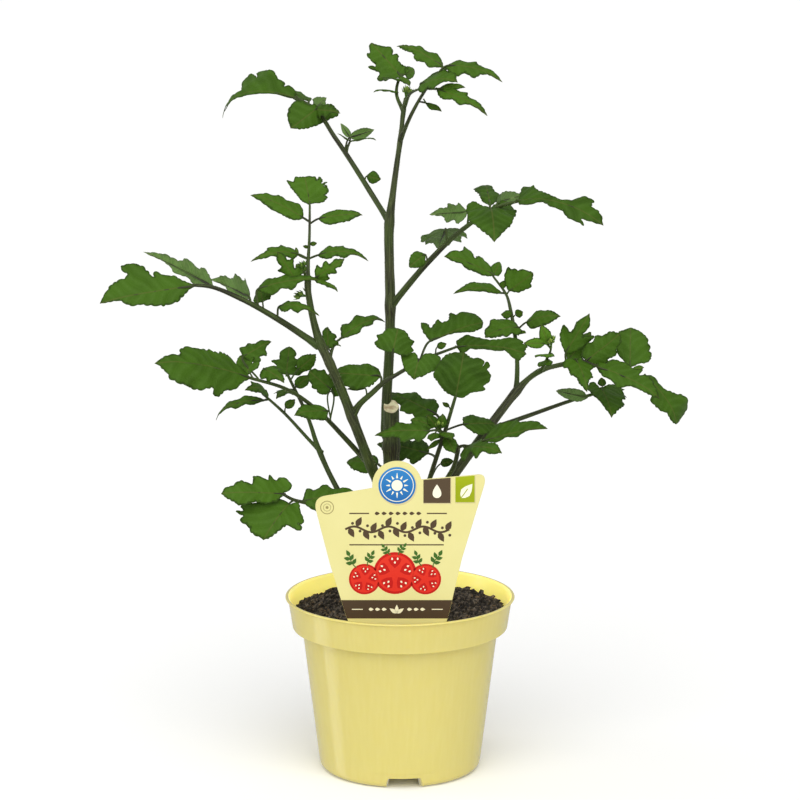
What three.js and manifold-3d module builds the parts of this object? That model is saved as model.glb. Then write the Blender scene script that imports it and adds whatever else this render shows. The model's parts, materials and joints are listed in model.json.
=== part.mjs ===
// Young tomato plant in a round nursery pot, with a stick-in plant label.
// Millimetres, +Z up. The origin is the centre of the pot's foot, on the surface that it stands on.
// +X is to the right and +Y is to the back, as seen from the side that the label faces.

import * as THREE from "three";
import { mergeVertices } from "three/addons/utils/BufferGeometryUtils.js";
import Module from "manifold-3d";

const wasm = await Module();
wasm.setup();

// ---------------------------------------------------------------------------
// Driving dimensions
// ---------------------------------------------------------------------------

const SEAT_GAP = 0.3; // between a piece and what carries it
const SHORTEST_EDGE = 0.01; // edges that a joint or a cut leaves shorter than this are closed up

const POT_HEIGHT = 100;
const RIM_RADIUS = 65;
const LIP_HEIGHT = 1.2;
const LIP_STEP = 1.5; // from the lip in to the collar
const STEP_HEIGHT = 82; // where the body steps out to the collar
const COLLAR_FOOT_RADIUS = 61;
const BODY_TOP_RADIUS = 55.6;
const FOOT_RADIUS = 46.2;
const FOOT_CORNER = 4.5; // size of the rounding round the foot
const FOOT_RING_WIDTH = 3; // the flat part that the pot stands on
const FOOT_RING_HEIGHT = 6.2;
const WALL = 1.5;
const LEDGE_HEIGHT = STEP_HEIGHT + WALL; // the step seen from inside the pot
const FLOOR_THICKNESS = 1.8;
const NOTCH_COUNT = 3;
const NOTCH_WIDTH = 20.8;
const NOTCH_SIDE_SLOPE = 1.5;
const NOTCH_TURN = 3; // degrees to the right of straight ahead
const POT_SIDES = 48;

const SOIL_AT_WALL = 90.5;
const SOIL_AT_CENTRE = 94.5;
const SOIL_BUMP = 1.1;
const SOIL_SIDES = 32;
const SOIL_RINGS = 6;

const LABEL_THICKNESS = 0.8;
const LABEL_PLACE = -46; // y of the label's face at the height of the rim
const LABEL_LEAN = 1.5; // degrees, top to the back
const LABEL_DISC_CENTRE = [-1.6, 173];
const LABEL_DISC_RADIUS = 13.6;

const STUB_CUT_TOP = 211.5; // highest point of the slanting cut
const STUB_CUT_SLOPE = 34; // degrees, low side to the front

const BLADE_THICKNESS = 0.8;
const STALK_HALF_WIDTH = 0.6;
const STALK_SET_BACK = 0.5; // share of its length that a stalk starts nearer to the root than it ends
const SHORTEST_STALK = 1; // a leaflet nearer to the midrib than this has no stalk of its own
const STEM_SIDES = 8;
const MIDRIB_SIDES = 4;

const YELLOW_PLASTIC = { color: "#e6da84", roughness: 0.45, metalness: 0 };
const LABEL_PLASTIC = { color: "#f4ecb0", roughness: 0.4, metalness: 0 };
const PEAT = { color: "#2b2019", roughness: 1, metalness: 0 };
const STEM_SKIN = { color: "#5a6034", roughness: 0.7, metalness: 0 };
const LEAF_SKIN = { color: "#44701f", roughness: 0.6, metalness: 0 };

// ---------------------------------------------------------------------------
// The plant: routes of the stems and leaves
// ---------------------------------------------------------------------------

// A stem: the points that its axis passes through, from the root end up, and the radius at each.
const STEMS = [
  {
    name: "main_stem",
    parent: null,
    path: [
      [-5, 0, 73], [-5, 0, 96.5], [-5, 0, 126], [-5, 0, 155], [-5, 0, 183.5], [-5, 0, 212.5],
    ],
    radii: [4.4, 4.7, 4.6, 4.5, 4.4, 4.3],
  },
  {
    name: "leader_shoot",
    parent: "main_stem",
    path: [
      [-5, 0, 186], [-8, 3.5, 192], [-8, 5, 201], [-7.5, 4, 214], [-6, 1, 240.5],
      [-5.5, 0, 269], [-6, 0, 290], [-6, 0, 311], [-4, 0, 328], [-1.5, 1, 346.5],
      [0.5, 2, 360.5], [1.5, 3, 370.5], [3, 4, 380.5],
    ],
    radii: [2, 2.7, 2.8, 2.8, 2.75, 2.8, 2.7, 2.6, 1.8, 1.5, 1.3, 1.2, 0.8],
  },
  {
    name: "left_shoot",
    parent: "main_stem",
    path: [
      [-5, 0, 143.5], [-9, -2.5, 155.5], [-13.5, -5.5, 168.5], [-19.5, -10, 185],
      [-26.5, -15, 205], [-32.5, -18, 221.5], [-39, -21.5, 237.5], [-44.5, -23, 250],
      [-47.5, -23, 261], [-49.5, -22, 271], [-50.5, -21, 278.5], [-50.5, -20, 285],
    ],
    radii: [2.9, 2.9, 2.8, 2.8, 2.7, 2.6, 2.4, 2.3, 1.9, 1.8, 1.6, 1.3],
  },
  {
    name: "right_shoot",
    parent: "main_stem",
    path: [
      [-5, 0, 125], [1, -3.5, 135], [11.5, -5, 147.5], [22.5, -5, 160], [32, -3.5, 172.5],
      [41.5, -0.5, 185], [50.5, 2, 197], [58, 5.5, 206.5], [66, 11, 215.5],
      [72.5, 15.5, 221.5], [81.5, 22, 226], [90, 24, 228], [98, 25, 229.5],
    ],
    radii: [3, 3, 2.9, 2.8, 2.7, 2.6, 2.5, 2.4, 2.3, 1.6, 1.4, 1.3, 1.1],
  },
  {
    name: "front_shoot",
    parent: "right_shoot",
    path: [
      [18, -5, 155], [22.5, -12, 163.5], [26.5, -15.5, 171], [30, -17.5, 178],
      [31.5, -19, 184], [32, -20.5, 189], [29, -23, 193.5], [25, -25, 197.5],
      [21.5, -26, 200.5],
    ],
    radii: [1.2, 1.4, 1.4, 1.3, 1.2, 1.1, 0.9, 0.8, 0.7],
  },
];

// A compound leaf: what it grows from, the route of its midrib from there to its end leaflet, the radius at
// both ends, and its leaflets: outline, base, tip, width, facing, arch, fold in degrees and, where its stalk
// does not start at the nearest point of the midrib, where it starts.
const LEAVES = [
  {
    name: "leaf_upper_left",
    parent: "leader_shoot",
    path: [
      [-6, 0, 312.5], [-36.5, 31, 356.5], [-49, 42, 372.5], [-59.5, 47, 378],
    ],
    radii: [1.6, 0.7],
    leaflets: [
      ["toothed", [-59, 47, 378], [-104, 74, 366], [16, 2.5], "tilted", 12, 5],
      ["heart", [-46, 38.5, 373], [-61, 29.5, 362], [10, 10], "front", 2, 6],
      ["toothed", [-48, 38.5, 371.5], [-34, 27.5, 371], [4.5, 4.5], "steep", 1, 8],
      ["oval", [-48, 43.5, 372], [-43, 62, 376], [4.5, 4.5], "away", 1, 5],
      ["oval", [-51.5, 45, 376], [-67, 69.5, 382], [5, 5], "up", 1, 10],
      ["oval", [-28, 27, 357], [-15, 35, 360.5], [3, 3], "away", -1, 10],
      ["oval", [-28, 27, 357], [-33, 33.5, 364], [2, 2], "away", 0, 10],
      ["oval", [-27.5, 24.5, 355], [-13.5, 15.5, 357.5], [3, 3], "up", 1, 10],
      ["oval", [-28.5, 25.5, 355.5], [-34.5, 22.5, 360], [1.5, 1.5], "up", 0, 10],
      ["tiny", [-18.5, 15, 336.5], [-11, 11, 335], [3.5, 3.5], "front", 0, 10],
    ],
  },
  {
    name: "leaf_top_left",
    parent: "leader_shoot",
    path: [
      [2, 3, 373], [-2, 14, 383], [-1, 19, 388.5], [1.5, 22, 392.5],
    ],
    radii: [1.1, 0.6],
    leaflets: [
      ["toothed", [1, 21.5, 391], [-17, 45, 409.5], [6, 9], "front", -2, 10],
      ["oval", [0.5, 19, 389.5], [-12, 10.5, 391.5], [4.5, 4.5], "up", 1, 10],
      ["oval", [-1, 14, 383], [-14.5, 7, 384.5], [3.5, 3.5], "up", 1, 10],
      ["oval", [3, 22, 392.5], [9, 34.5, 394], [3.5, 3.5], "front", 0, 10],
      ["tiny", [0.5, 21, 391.5], [5.5, 11.5, 387.5], [3, 3], "up", 0, 10],
    ],
  },
  {
    name: "leaf_top_right",
    parent: "leader_shoot",
    path: [
      [0, 1, 357.5], [7, -8.5, 374], [15, -17, 388], [23.5, -22, 399],
    ],
    radii: [1.2, 0.6],
    leaflets: [
      ["toothed", [25, -22.5, 399.5], [54.5, -36, 393], [6, 6], "tilted", 4, 15],
      ["toothed", [23, -21, 399], [-2, -3.5, 410.5], [5, 5], "tilted", 3, 15],
      ["toothed", [11, -17, 389.5], [30, -37.5, 393], [8, 13], "tilted", 2, 5],
      ["tiny", [14.5, -14.5, 379], [22.5, -20, 375.5], [2, 2], "tilted", 0, 10],
      ["tiny", [14.5, -14.5, 379], [13, -17.5, 381.5], [1.5, 1.5], "tilted", 0, 10],
    ],
  },
  {
    name: "leaf_top_front",
    parent: "leader_shoot",
    path: [
      [2.5, 3, 376], [6, -7.5, 384], [9, -13, 386], [20, -28, 387.5],
    ],
    radii: [0.9, 0.5],
    leaflets: [
      ["toothed", [20, -28, 387.5], [46, -52, 376.5], [4.5, 6], "tilted", 2, 8],
      ["tiny", [21.5, -29.5, 388], [35, -29.5, 389], [2.5, 2.5], "tilted", 1, 10],
    ],
  },
  {
    name: "leaf_upper_right",
    parent: "leader_shoot",
    path: [
      [-5, 0, 265.5], [16, -14.5, 292.5], [33, -26, 310.5], [57, -43, 327], [63.5, -47, 329],
    ],
    radii: [1.9, 0.7],
    leaflets: [
      ["club", [63, -47, 329.5], [106.5, -73, 321], [6.5, 8], "tilted", 7, 5],
      ["heart", [48.5, -39.5, 325], [50, -65.5, 311], [14, 14], "up", 4, 6],
      ["lobed", [48.5, -37.5, 326], [46.5, -3, 334.5], [8, 8], "up", 2, 15],
      ["oval", [52, -38, 326.5], [67.5, -11, 328.5], [4.5, 4.5], "away", 3, 5],
      ["toothed", [36.5, -27.5, 321], [17, -15, 318.5], [5.5, 5.5], "away", 1, 12],
      ["heart", [25, -19.5, 311], [21, 11.5, 297.5], [12, 12], "up", 0, 10],
      ["tiny", [13.5, -15, 296.5], [5, -16.5, 289.5], [4.5, 4.5], "front", 0, 8],
    ],
  },
  {
    name: "leaf_long_left",
    parent: "left_shoot",
    path: [
      [-44.5, -22, 246.5], [-68, -27, 263], [-87, -32.5, 274.5], [-103, -36.5, 281.5],
      [-115, -41, 283],
    ],
    radii: [2, 0.8],
    leaflets: [
      ["cleft", [-114.5, -41, 283], [-161, -52, 275.5], [19, 8.5], "steep", 2, 5],
      ["toothed", [-101.5, -35.5, 281.5], [-140.5, 0, 295.5], [3.5, 7], "away", 2, 8],
      ["toothed", [-82, -29, 274.5], [-104, 1.5, 280], [4, 9], "away", 2, 8],
      ["toothed", [-77.5, -29, 279], [-43.5, -30, 285], [5.5, 5.5], "tilted", 3, 8],
      ["oval", [-75, -27.5, 272], [-77, -17, 278], [5, 5], "front", 0, 10],
      ["toothed", [-66, -28.5, 269.5], [-44, -40, 267], [4, 4], "tilted", 4, 12],
    ],
  },
  {
    name: "leaf_left_crown",
    parent: "left_shoot",
    path: [
      [-50.5, -20, 281.5], [-50.5, -13.5, 292], [-50, -7.5, 303.5], [-50, 3, 321.5],
    ],
    radii: [1.2, 0.6],
    leaflets: [
      ["broad", [-50, 3, 322], [-53.5, 20, 336.5], [11, 11], "front", -2, 15],
      ["toothed", [-53.5, -1.5, 315], [-81.5, -6.5, 329], [7, 5], "tilted", 2, 12],
      ["toothed", [-45, -1.5, 314.5], [-21, -6.5, 318], [5.5, 5.5], "tilted", 1, 15],
      ["toothed", [-56, -11, 296], [-81.5, -20, 294], [6, 4], "tilted", 4, 12],
      ["toothed", [-45, -11, 295.5], [-17.5, -16.5, 294], [4, 5.5], "tilted", 5, 12],
      ["tiny", [-49.5, -8, 301], [-46, -11, 302], [1.25, 1.25], "front", 0, 10],
      ["tiny", [-50.5, -9.5, 299.5], [-53, -12.5, 300.5], [1, 1], "front", 0, 10],
      ["tiny", [-56.5, -10, 296], [-57.5, -8, 299.5], [1, 1], "front", 0, 10],
    ],
  },
  {
    name: "leaf_left_tip",
    parent: "left_shoot",
    path: [
      [-50.5, -20, 282.5], [-51.5, -24, 285.5], [-52.5, -26, 288.5],
    ],
    radii: [1.1, 0.6],
    leaflets: [
      ["lobed", [-56.5, -26, 283], [-66.5, -31, 299.5], [6, 6], "front", -1, 15],
      ["lobed", [-46, -25, 285], [-30.5, -30, 295.5], [5, 5], "front", 0, 12],
      ["oval", [-46, -26, 284], [-33.5, -38, 280], [3, 3], "up", 1, 15],
      ["oval", [-52, -26, 288], [-57, -24, 292], [3, 3], "front", 0, 10],
      ["tiny", [-51.5, -26, 288.5], [-53.5, -27, 293.5], [1.25, 1.25], "front", 0, 10],
    ],
  },
  {
    name: "leaf_left_inner",
    parent: "left_shoot",
    path: [
      [-39, -21.5, 237.5], [-38, -18, 242], [-36, -13.5, 246.5], [-32.5, -9.5, 249],
    ],
    radii: [1, 0.6],
    leaflets: [
      ["toothed", [-32.5, -9.5, 249], [-8, 7.5, 256.5], [3.5, 7], "tilted", 6, 8],
      ["toothed", [-39.5, -17.5, 244.5], [-40.5, -5, 255.5], [5.5, 5.5], "front", 0, 10],
      ["tiny", [-37, -14.5, 246.5], [-32.5, -18.5, 246.5], [1.25, 1.25], "up", 0, 10],
    ],
  },
  {
    name: "leaf_broad_left",
    parent: "left_shoot",
    path: [
      [-16, -7.5, 176], [-22, -3.5, 181.5], [-31, -6, 192], [-45.5, -15, 209],
      [-61.5, -27.5, 223], [-82, -42.5, 232.5],
    ],
    radii: [1.8, 0.8],
    leaflets: [
      ["toothed", [-81.5, -42.5, 232.5], [-129, -70.5, 247], [14, 16], "tilted", 3, 5],
      ["toothed", [-85.5, -35, 243], [-70.5, -22.5, 250], [7, 7], "tilted", 0, 8],
      ["lobed", [-81.5, -40, 234.5], [-88, -31.5, 243], [7.5, 7.5], "front", 0, 8],
      ["toothed", [-74.5, -33, 236], [-63, -45.5, 231], [6, 6], "tilted", 1, 10],
      ["toothed", [-41.5, -17.5, 210], [-57.5, -31, 211], [6.5, 6.5], "tilted", 1, 8],
      ["lobed", [-38.5, -3.5, 218], [-51.5, -1, 229], [8, 8], "front", 0, 8],
      ["tiny", [-38.5, -3.5, 218], [-29.5, -0.5, 218.5], [3.5, 3.5], "front", 0, 8],
    ],
  },
  {
    name: "leaf_low_left",
    parent: "main_stem",
    path: [
      [-5, 0, 118.5], [-11.5, 2, 125.5], [-47, 21, 181.5], [-52, 25, 196],
      [-64.5, 32.5, 221.5],
    ],
    radii: [2, 0.8],
    leaflets: [
      ["lobed", [-65, 32.5, 221], [-63.5, 40, 236.5], [10, 10], "front", -1, 8],
      ["oval", [-58.5, 31.5, 224], [-48, 27, 233.5], [4.5, 4.5], "front", 0, 10],
      ["toothed", [-62.5, 27.5, 213.5], [-70, 11.5, 212], [6, 6], "up", 1, 8],
      ["oval", [-59.5, 28.5, 214.5], [-51.5, 23.5, 222], [3.5, 3.5], "front", 0, 10],
    ],
  },
  {
    name: "leaf_drooping_left",
    parent: "leaf_low_left",
    path: [
      [-44.5, 19.5, 178], [-50, 22.5, 183], [-67, 29.5, 200], [-79, 36, 209.5],
    ],
    radii: [1.2, 0.7],
    leaflets: [
      ["toothed", [-76.5, 35, 211], [-87.5, 21, 215], [6.5, 6.5], "tilted", 2, 5],
      ["toothed", [-78, 33.5, 206], [-108, 48.5, 192.5], [3.5, 3], "tilted", 6, 5],
      ["oval", [-65.5, 29, 202.5], [-60, 26, 207.5], [2.5, 2.5], "front", 0, 8],
    ],
  },
  {
    name: "leaf_centre_right",
    parent: "left_shoot",
    path: [
      [-26.5, -15, 206.5], [-22.5, -18, 213], [-15.5, -21, 220], [-8.5, -22, 226.5],
      [-2, -22, 230.5], [11, -19, 237.5], [31.5, -12, 244.5],
    ],
    radii: [1.9, 0.7],
    leaflets: [
      ["toothed", [31.5, -12, 244.5], [69, -26, 244], [7, 6.5], "tilted", 3, 6],
      ["lobed", [16.5, -14, 248], [46.5, -2, 257.5], [3, 15], "tilted", 1, 6, [10.5, -19, 237]],
      ["heart", [15, -18, 239], [5, -22, 226], [11.5, 11.5], "tilted", 2, 8],
      ["toothed", [-4, -25, 243.5], [-1.5, -21, 257], [10.5, 10.5], "front", -1, 10],
      ["oval", [-10.5, -22, 229.5], [-41, -6, 228.5], [8.5, 8.5], "tilted", 1, 6],
      ["tiny", [-19.5, -21, 223], [-29.5, -17, 222], [1.5, 1.5], "tilted", 0, 8],
      ["tiny", [20.5, -16, 245], [25.5, -18, 247], [2, 2], "front", 0, 8],
    ],
  },
  {
    name: "leaf_centre",
    parent: "right_shoot",
    path: [
      [11.5, -5, 147.5], [16, -16.5, 169], [25, -23, 199.5], [30.5, -30, 220],
    ],
    radii: [1.6, 0.9],
    leaflets: [
      ["broad", [30.5, -29.5, 219.5], [35, -28, 244], [16.5, 16.5], "front", 2, 6],
      ["oval", [35, -21, 202.5], [55, -2.5, 199], [7, 7], "tilted", 1, 6],
      ["tiny", [27, -24, 213], [23.5, -26, 215.5], [1.25, 1.25], "front", 0, 8],
      ["toothed", [16, 8.5, 180], [-14, 30, 182.5], [8.5, 8.5], "tilted", 1, 6, [20, -16.5, 180.5]],
      ["oval", [23, -3, 176.5], [30.5, 2.5, 177], [2.5, 2.5], "front", 0, 8],
      ["toothed", [20, -15, 207], [-9.5, 21, 213.5], [8.5, 8.5], "tilted", 2, 6, [25.5, -23, 201]],
    ],
  },
  {
    name: "leaf_front_tip",
    parent: "front_shoot",
    path: [
      [23, -25, 198.5], [20.5, -27.5, 200.5], [17.5, -28, 200.5],
    ],
    radii: [0.8, 0.5],
    leaflets: [
      ["toothed", [16.5, -27, 200], [-14.5, -20, 197], [7, 7], "tilted", 2, 8],
      ["oval", [19, -25, 202], [5.5, -18, 205], [4.5, 4.5], "tilted", 1, 10],
      ["oval", [20.5, -28, 202.5], [15, -32, 209.5], [3, 3], "front", 0, 10],
      ["oval", [22.5, -27.5, 201.5], [23.5, -31.5, 210], [3, 3], "front", 0, 10],
      ["oval", [23.5, -28, 199.5], [28.5, -38, 198], [4.5, 4.5], "up", 1, 10],
      ["oval", [25.5, -26.5, 196.5], [30, -37, 190], [4, 4], "tilted", 0, 10],
      ["tiny", [22, -27, 195], [15, -33, 191], [1.5, 1.5], "tilted", 0, 10],
      ["oval", [19.5, -29.5, 199.5], [17, -39.5, 197.5], [3.5, 3.5], "up", 0, 10],
    ],
  },
  {
    name: "leaf_front_right",
    parent: "front_shoot",
    path: [
      [31.5, -20.5, 189], [35, -23.5, 191], [39.5, -27.5, 191.5], [47, -32, 196],
    ],
    radii: [0.8, 0.5],
    leaflets: [
      ["toothed", [46, -32, 195.5], [79, -50.5, 207], [3, 12], "tilted", 1, 5],
      ["lobed", [35.5, -24.5, 190], [54.5, -49.5, 193.5], [8.5, 8.5], "tilted", 2, 8],
    ],
  },
  {
    name: "leaf_right_crown",
    parent: "right_shoot",
    path: [
      [65.5, 10.5, 215], [66.5, 22.5, 228], [63.5, 42, 256], [61.5, 47, 264],
      [53.5, 54.5, 275],
    ],
    radii: [1.5, 0.6],
    leaflets: [
      ["cleft", [53.5, 54.5, 275.5], [26, 47.5, 288], [13, 4], "tilted", 2, 8],
      ["oval", [54, 54.5, 275.5], [58, 62.5, 282.5], [3.5, 3.5], "front", 0, 10],
      ["toothed", [58.5, 48, 266], [31, 31.5, 269], [6, 3.5], "tilted", 4, 10],
      ["trident", [62.5, 47.5, 267], [76, 43.5, 278], [9, 9], "front", 0, 10],
      ["tiny", [58, 49.5, 269], [61, 48, 273], [2, 2], "front", 0, 10],
      ["toothed", [68, 34, 248], [48.5, 20, 245.5], [8, 7], "tilted", 3, 8],
      ["oval", [72, 34.5, 251], [90.5, 25.5, 256.5], [6, 6], "tilted", 2, 10],
      ["tiny", [64, 39.5, 254.5], [58, 35, 255.5], [2.5, 2.5], "front", 0, 10],
      ["tiny", [66, 39.5, 254.5], [70, 37, 256.5], [2.5, 2.5], "front", 0, 10],
      ["tiny", [68, 33.5, 246], [71.5, 29.5, 246], [1.5, 1.5], "tilted", 0, 10],
    ],
  },
  {
    name: "leaf_right_tip",
    parent: "right_shoot",
    path: [
      [94.5, 24, 228.5], [98.5, 23, 231], [104, 21.5, 231], [110.5, 21, 228.5],
      [131, 26.5, 226],
    ],
    radii: [1, 0.6],
    leaflets: [
      ["trident", [94, 23, 235.5], [107, 19.5, 258], [9, 9], "front", 0, 8],
      ["toothed", [95.5, 24.5, 231], [109.5, 32, 246], [6, 6], "front", 0, 10],
      ["toothed", [105.5, 21, 231], [124.5, 20, 246.5], [7.5, 7.5], "front", 0, 8],
      ["heart", [99.5, 20, 232], [105, -0.5, 218], [8, 8], "up", 2, 10],
      ["toothed", [111.5, 20, 228], [147, 12, 212], [6, 6], "tilted", 3, 8],
      ["broad", [131, 26.5, 226.5], [132, 37.5, 248], [11, 11], "front", -1, 8],
      ["tiny", [132.5, 25.5, 225.5], [138.5, 24, 227], [2, 2], "tilted", 0, 8],
    ],
  },
  {
    name: "leaf_right_young",
    parent: "right_shoot",
    path: [
      [80, 20.5, 225], [82.5, 14.5, 232.5], [84.5, 10.5, 238], [85, 9, 241.5],
    ],
    radii: [0.9, 0.5],
    leaflets: [
      ["oval", [83.5, 9, 242], [79, 4.5, 254], [3.5, 3.5], "front", 0, 10],
      ["oval", [81.5, 9, 243], [69.5, 2.5, 244], [3, 3], "front", 0, 10],
      ["oval", [85.5, 10, 237], [75.5, -2, 238], [4.5, 4.5], "up", 0, 10],
      ["oval", [84, 13.5, 233], [78, 5, 231], [4, 4], "up", 0, 10],
    ],
  },
  {
    name: "leaf_far_right",
    parent: "right_shoot",
    path: [
      [49.5, 1.5, 195.5], [55.5, 10, 195.5], [74, 24.5, 199], [98, 39.5, 204.5],
      [120.5, 51, 209], [143, 61, 215.5],
    ],
    radii: [1.7, 0.6],
    leaflets: [
      ["toothed", [143, 61, 215.5], [163, 64.5, 186], [8, 10], "tilted", 5, 6],
      ["heart", [116, 45.5, 211], [120.5, 20, 200], [10, 10], "up", 2, 8],
      ["oval", [108, 42.5, 206], [88.5, 32.5, 212], [3.5, 3.5], "away", 0, 10],
      ["tiny", [117, 48, 211.5], [116.5, 48, 216.5], [2.5, 2.5], "front", 0, 8],
    ],
  },
  {
    name: "leaf_bottom_left",
    parent: "main_stem",
    path: [
      [-5, 0, 107.5], [-10, -9, 119], [-18, -18.5, 133.5], [-26.5, -25.5, 146],
      [-35.5, -30.5, 154.5], [-44, -35.5, 160], [-53.5, -39, 162.5], [-59, -43, 165],
      [-64, -45.5, 168.5],
    ],
    radii: [1.7, 0.8],
    leaflets: [
      ["toothed", [-63.5, -45.5, 168.5], [-96, -60, 172.5], [10, 9], "steep", 2, 6],
      ["broad", [-60.5, -44, 163], [-74, -59, 146.5], [18, 18], "steep", 4, 5],
      ["toothed", [-53.5, -38.5, 163], [-21.5, -25, 164.5], [8.5, 8.5], "tilted", 2, 8],
    ],
  },
  {
    name: "leaf_hidden_left",
    parent: "main_stem",
    path: [
      [-5, 0, 167.5], [-9, 6, 171.5], [-12.5, 10, 173.5],
    ],
    radii: [0.9, 0.6],
    leaflets: [
      ["oval", [-12.5, 10, 173.5], [-31, 22, 173], [6.5, 6.5], "tilted", 1, 8],
    ],
  },
];

// One side of a leaflet's outline, from the base to the tip. Each point is a share of the length and a
// share of the half width. The two sides differ a little, as they do on the plant. The rib holds the shares
// of the length where the midrib has a point of the blade.
const OUTLINES = {
  tiny: {
    rib: [0.45],
    right: [[0.25, 0.95], [0.7, 0.75]],
    left: [[0.35, 1], [0.78, 0.6]],
  },
  oval: {
    rib: [0.45],
    right: [[0.14, 0.75], [0.42, 1], [0.76, 0.66]],
    left: [[0.2, 0.9], [0.5, 0.96], [0.8, 0.52]],
  },
  toothed: {
    rib: [0.42],
    right: [[0.12, 0.75], [0.32, 1], [0.36, 0.76], [0.6, 0.84], [0.64, 0.54]],
    left: [[0.2, 0.95], [0.25, 0.76], [0.48, 0.94], [0.52, 0.66], [0.78, 0.48]],
  },
  lobed: {
    rib: [0.3, 0.66],
    right: [[0.08, 0.75], [0.27, 1], [0.33, 0.48], [0.58, 0.85], [0.62, 0.4], [0.82, 0.42]],
    left: [[0.1, 0.75], [0.22, 0.98], [0.27, 0.58], [0.5, 0.92], [0.54, 0.5], [0.76, 0.5]],
  },
  cleft: {
    rib: [0.3, 0.66],
    right: [
      [0.05, 0.35], [0.16, 0.58], [0.36, 0.62], [0.42, 0.42], [0.52, 0.85], [0.62, 1], [0.7, 0.52],
      [0.86, 0.42],
    ],
    left: [[0.06, 0.5], [0.24, 0.95], [0.4, 1], [0.62, 0.9], [0.67, 0.68], [0.86, 0.5]],
  },
  club: {
    rib: [0.3, 0.66],
    right: [
      [0.05, 0.5], [0.14, 0.45], [0.36, 0.4], [0.56, 0.62], [0.62, 0.55], [0.78, 1], [0.83, 0.8],
      [0.93, 0.55],
    ],
    left: [
      [0.04, 0.8], [0.12, 0.9], [0.2, 0.5], [0.42, 0.42], [0.64, 0.85], [0.7, 0.72], [0.86, 0.95],
      [0.93, 0.5],
    ],
  },
  heart: {
    rib: [0.3, 0.66],
    right: [[-0.08, 0.45], [0, 0.88], [0.2, 1], [0.26, 0.84], [0.5, 0.82], [0.56, 0.58], [0.8, 0.42]],
    left: [[-0.07, 0.5], [0.05, 0.96], [0.32, 0.98], [0.38, 0.76], [0.62, 0.7], [0.68, 0.44]],
  },
  broad: {
    rib: [0.3, 0.66],
    right: [[-0.02, 0.4], [0.1, 0.82], [0.34, 1], [0.4, 0.88], [0.64, 0.95], [0.7, 0.72], [0.9, 0.46]],
    left: [[-0.01, 0.4], [0.13, 0.86], [0.3, 0.98], [0.36, 0.85], [0.56, 0.98], [0.62, 0.78], [0.86, 0.56]],
  },
  trident: {
    rib: [0.45],
    right: [[0.04, 0.3], [0.24, 0.7], [0.62, 1], [0.5, 0.36], [0.76, 0.4]],
    left: [[0.06, 0.3], [0.2, 0.75], [0.5, 1], [0.44, 0.4], [0.7, 0.42]],
  },
};

// The way that a leaflet's upper face looks.
const FACINGS = {
  up: [0, 0, 1],
  front: [0, -1, 0],
  away: [0, 1, 0],
  steep: [0, -0.9, 0.44],
  tilted: [0, -0.7, 0.7],
};

// ---------------------------------------------------------------------------
// Helpers
// ---------------------------------------------------------------------------

const vector = (point) => new THREE.Vector3(...point);
const radians = THREE.MathUtils.degToRad;

function geometryFrom(points, triangles) {
  const geometry = new THREE.BufferGeometry();
  const numbers = points.flatMap((p) => p.toArray());
  geometry.setAttribute("position", new THREE.Float32BufferAttribute(numbers, 3));
  geometry.setIndex(triangles.flat());
  return geometry;
}

function solidFrom(geometry) {
  const bare = geometry.clone();
  bare.deleteAttribute("normal");
  bare.deleteAttribute("uv");
  const merged = mergeVertices(bare, 1e-4);
  const vertProperties = new Float32Array(merged.attributes.position.array);
  const triVerts = new Uint32Array(merged.index.array);
  return new wasm.Manifold(new wasm.Mesh({ numProp: 3, vertProperties, triVerts }));
}

function meshFrom(name, solid, finish) {
  const { vertProperties, triVerts } = solid.getMesh();
  const geometry = new THREE.BufferGeometry();
  geometry.setAttribute("position", new THREE.BufferAttribute(vertProperties, 3));
  geometry.setIndex(new THREE.BufferAttribute(triVerts, 1));
  geometry.computeVertexNormals();
  const mesh = new THREE.Mesh(geometry, new THREE.MeshStandardMaterial(finish));
  mesh.name = name;
  return mesh;
}

const joined = (solids) => solids.reduce((whole, solid) => whole.add(solid));

// The body that is left when the hair-thin scraps of a cut are dropped and its shortest edges closed up.
function wholeBody(solid) {
  const bodies = solid.simplify(SHORTEST_EDGE).decompose();
  return bodies.reduce((largest, body) => (body.volume() > largest.volume() ? body : largest));
}

// A closed, tapering round tube through the points, with one radius for each point.
function tube(path, radii, sides, swell = 0) {
  const curve = new THREE.CatmullRomCurve3(path.map(vector));
  const last = path.length - 1;
  const points = [];
  const triangles = [];
  let side = new THREE.Vector3(1, 0, 0);
  for (let ring = 0; ring <= last; ring += 1) {
    const centre = vector(path[ring]);
    const along = curve.getTangent(ring / last);
    side = side.clone().addScaledVector(along, -side.dot(along)).normalize();
    const other = new THREE.Vector3().crossVectors(along, side);
    for (let corner = 0; corner < sides; corner += 1) {
      const turn = (corner / sides) * Math.PI * 2;
      const reach = radii[ring] + swell;
      points.push(
        centre.clone()
          .addScaledVector(side, Math.cos(turn) * reach)
          .addScaledVector(other, Math.sin(turn) * reach),
      );
    }
  }
  for (let ring = 0; ring < last; ring += 1) {
    for (let corner = 0; corner < sides; corner += 1) {
      const a = ring * sides + corner;
      const b = ring * sides + ((corner + 1) % sides);
      triangles.push([a, b, b + sides], [a, b + sides, a + sides]);
    }
  }
  for (let corner = 1; corner < sides - 1; corner += 1) {
    const top = last * sides;
    triangles.push([0, corner + 1, corner], [top, top + corner, top + corner + 1]);
  }
  return solidFrom(geometryFrom(points, triangles));
}

const evenRadii = (count, [first, last]) =>
  Array.from({ length: count }, (_, i) => THREE.MathUtils.lerp(first, last, i / (count - 1)));

// ---------------------------------------------------------------------------
// Pot, soil and label
// ---------------------------------------------------------------------------

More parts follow.
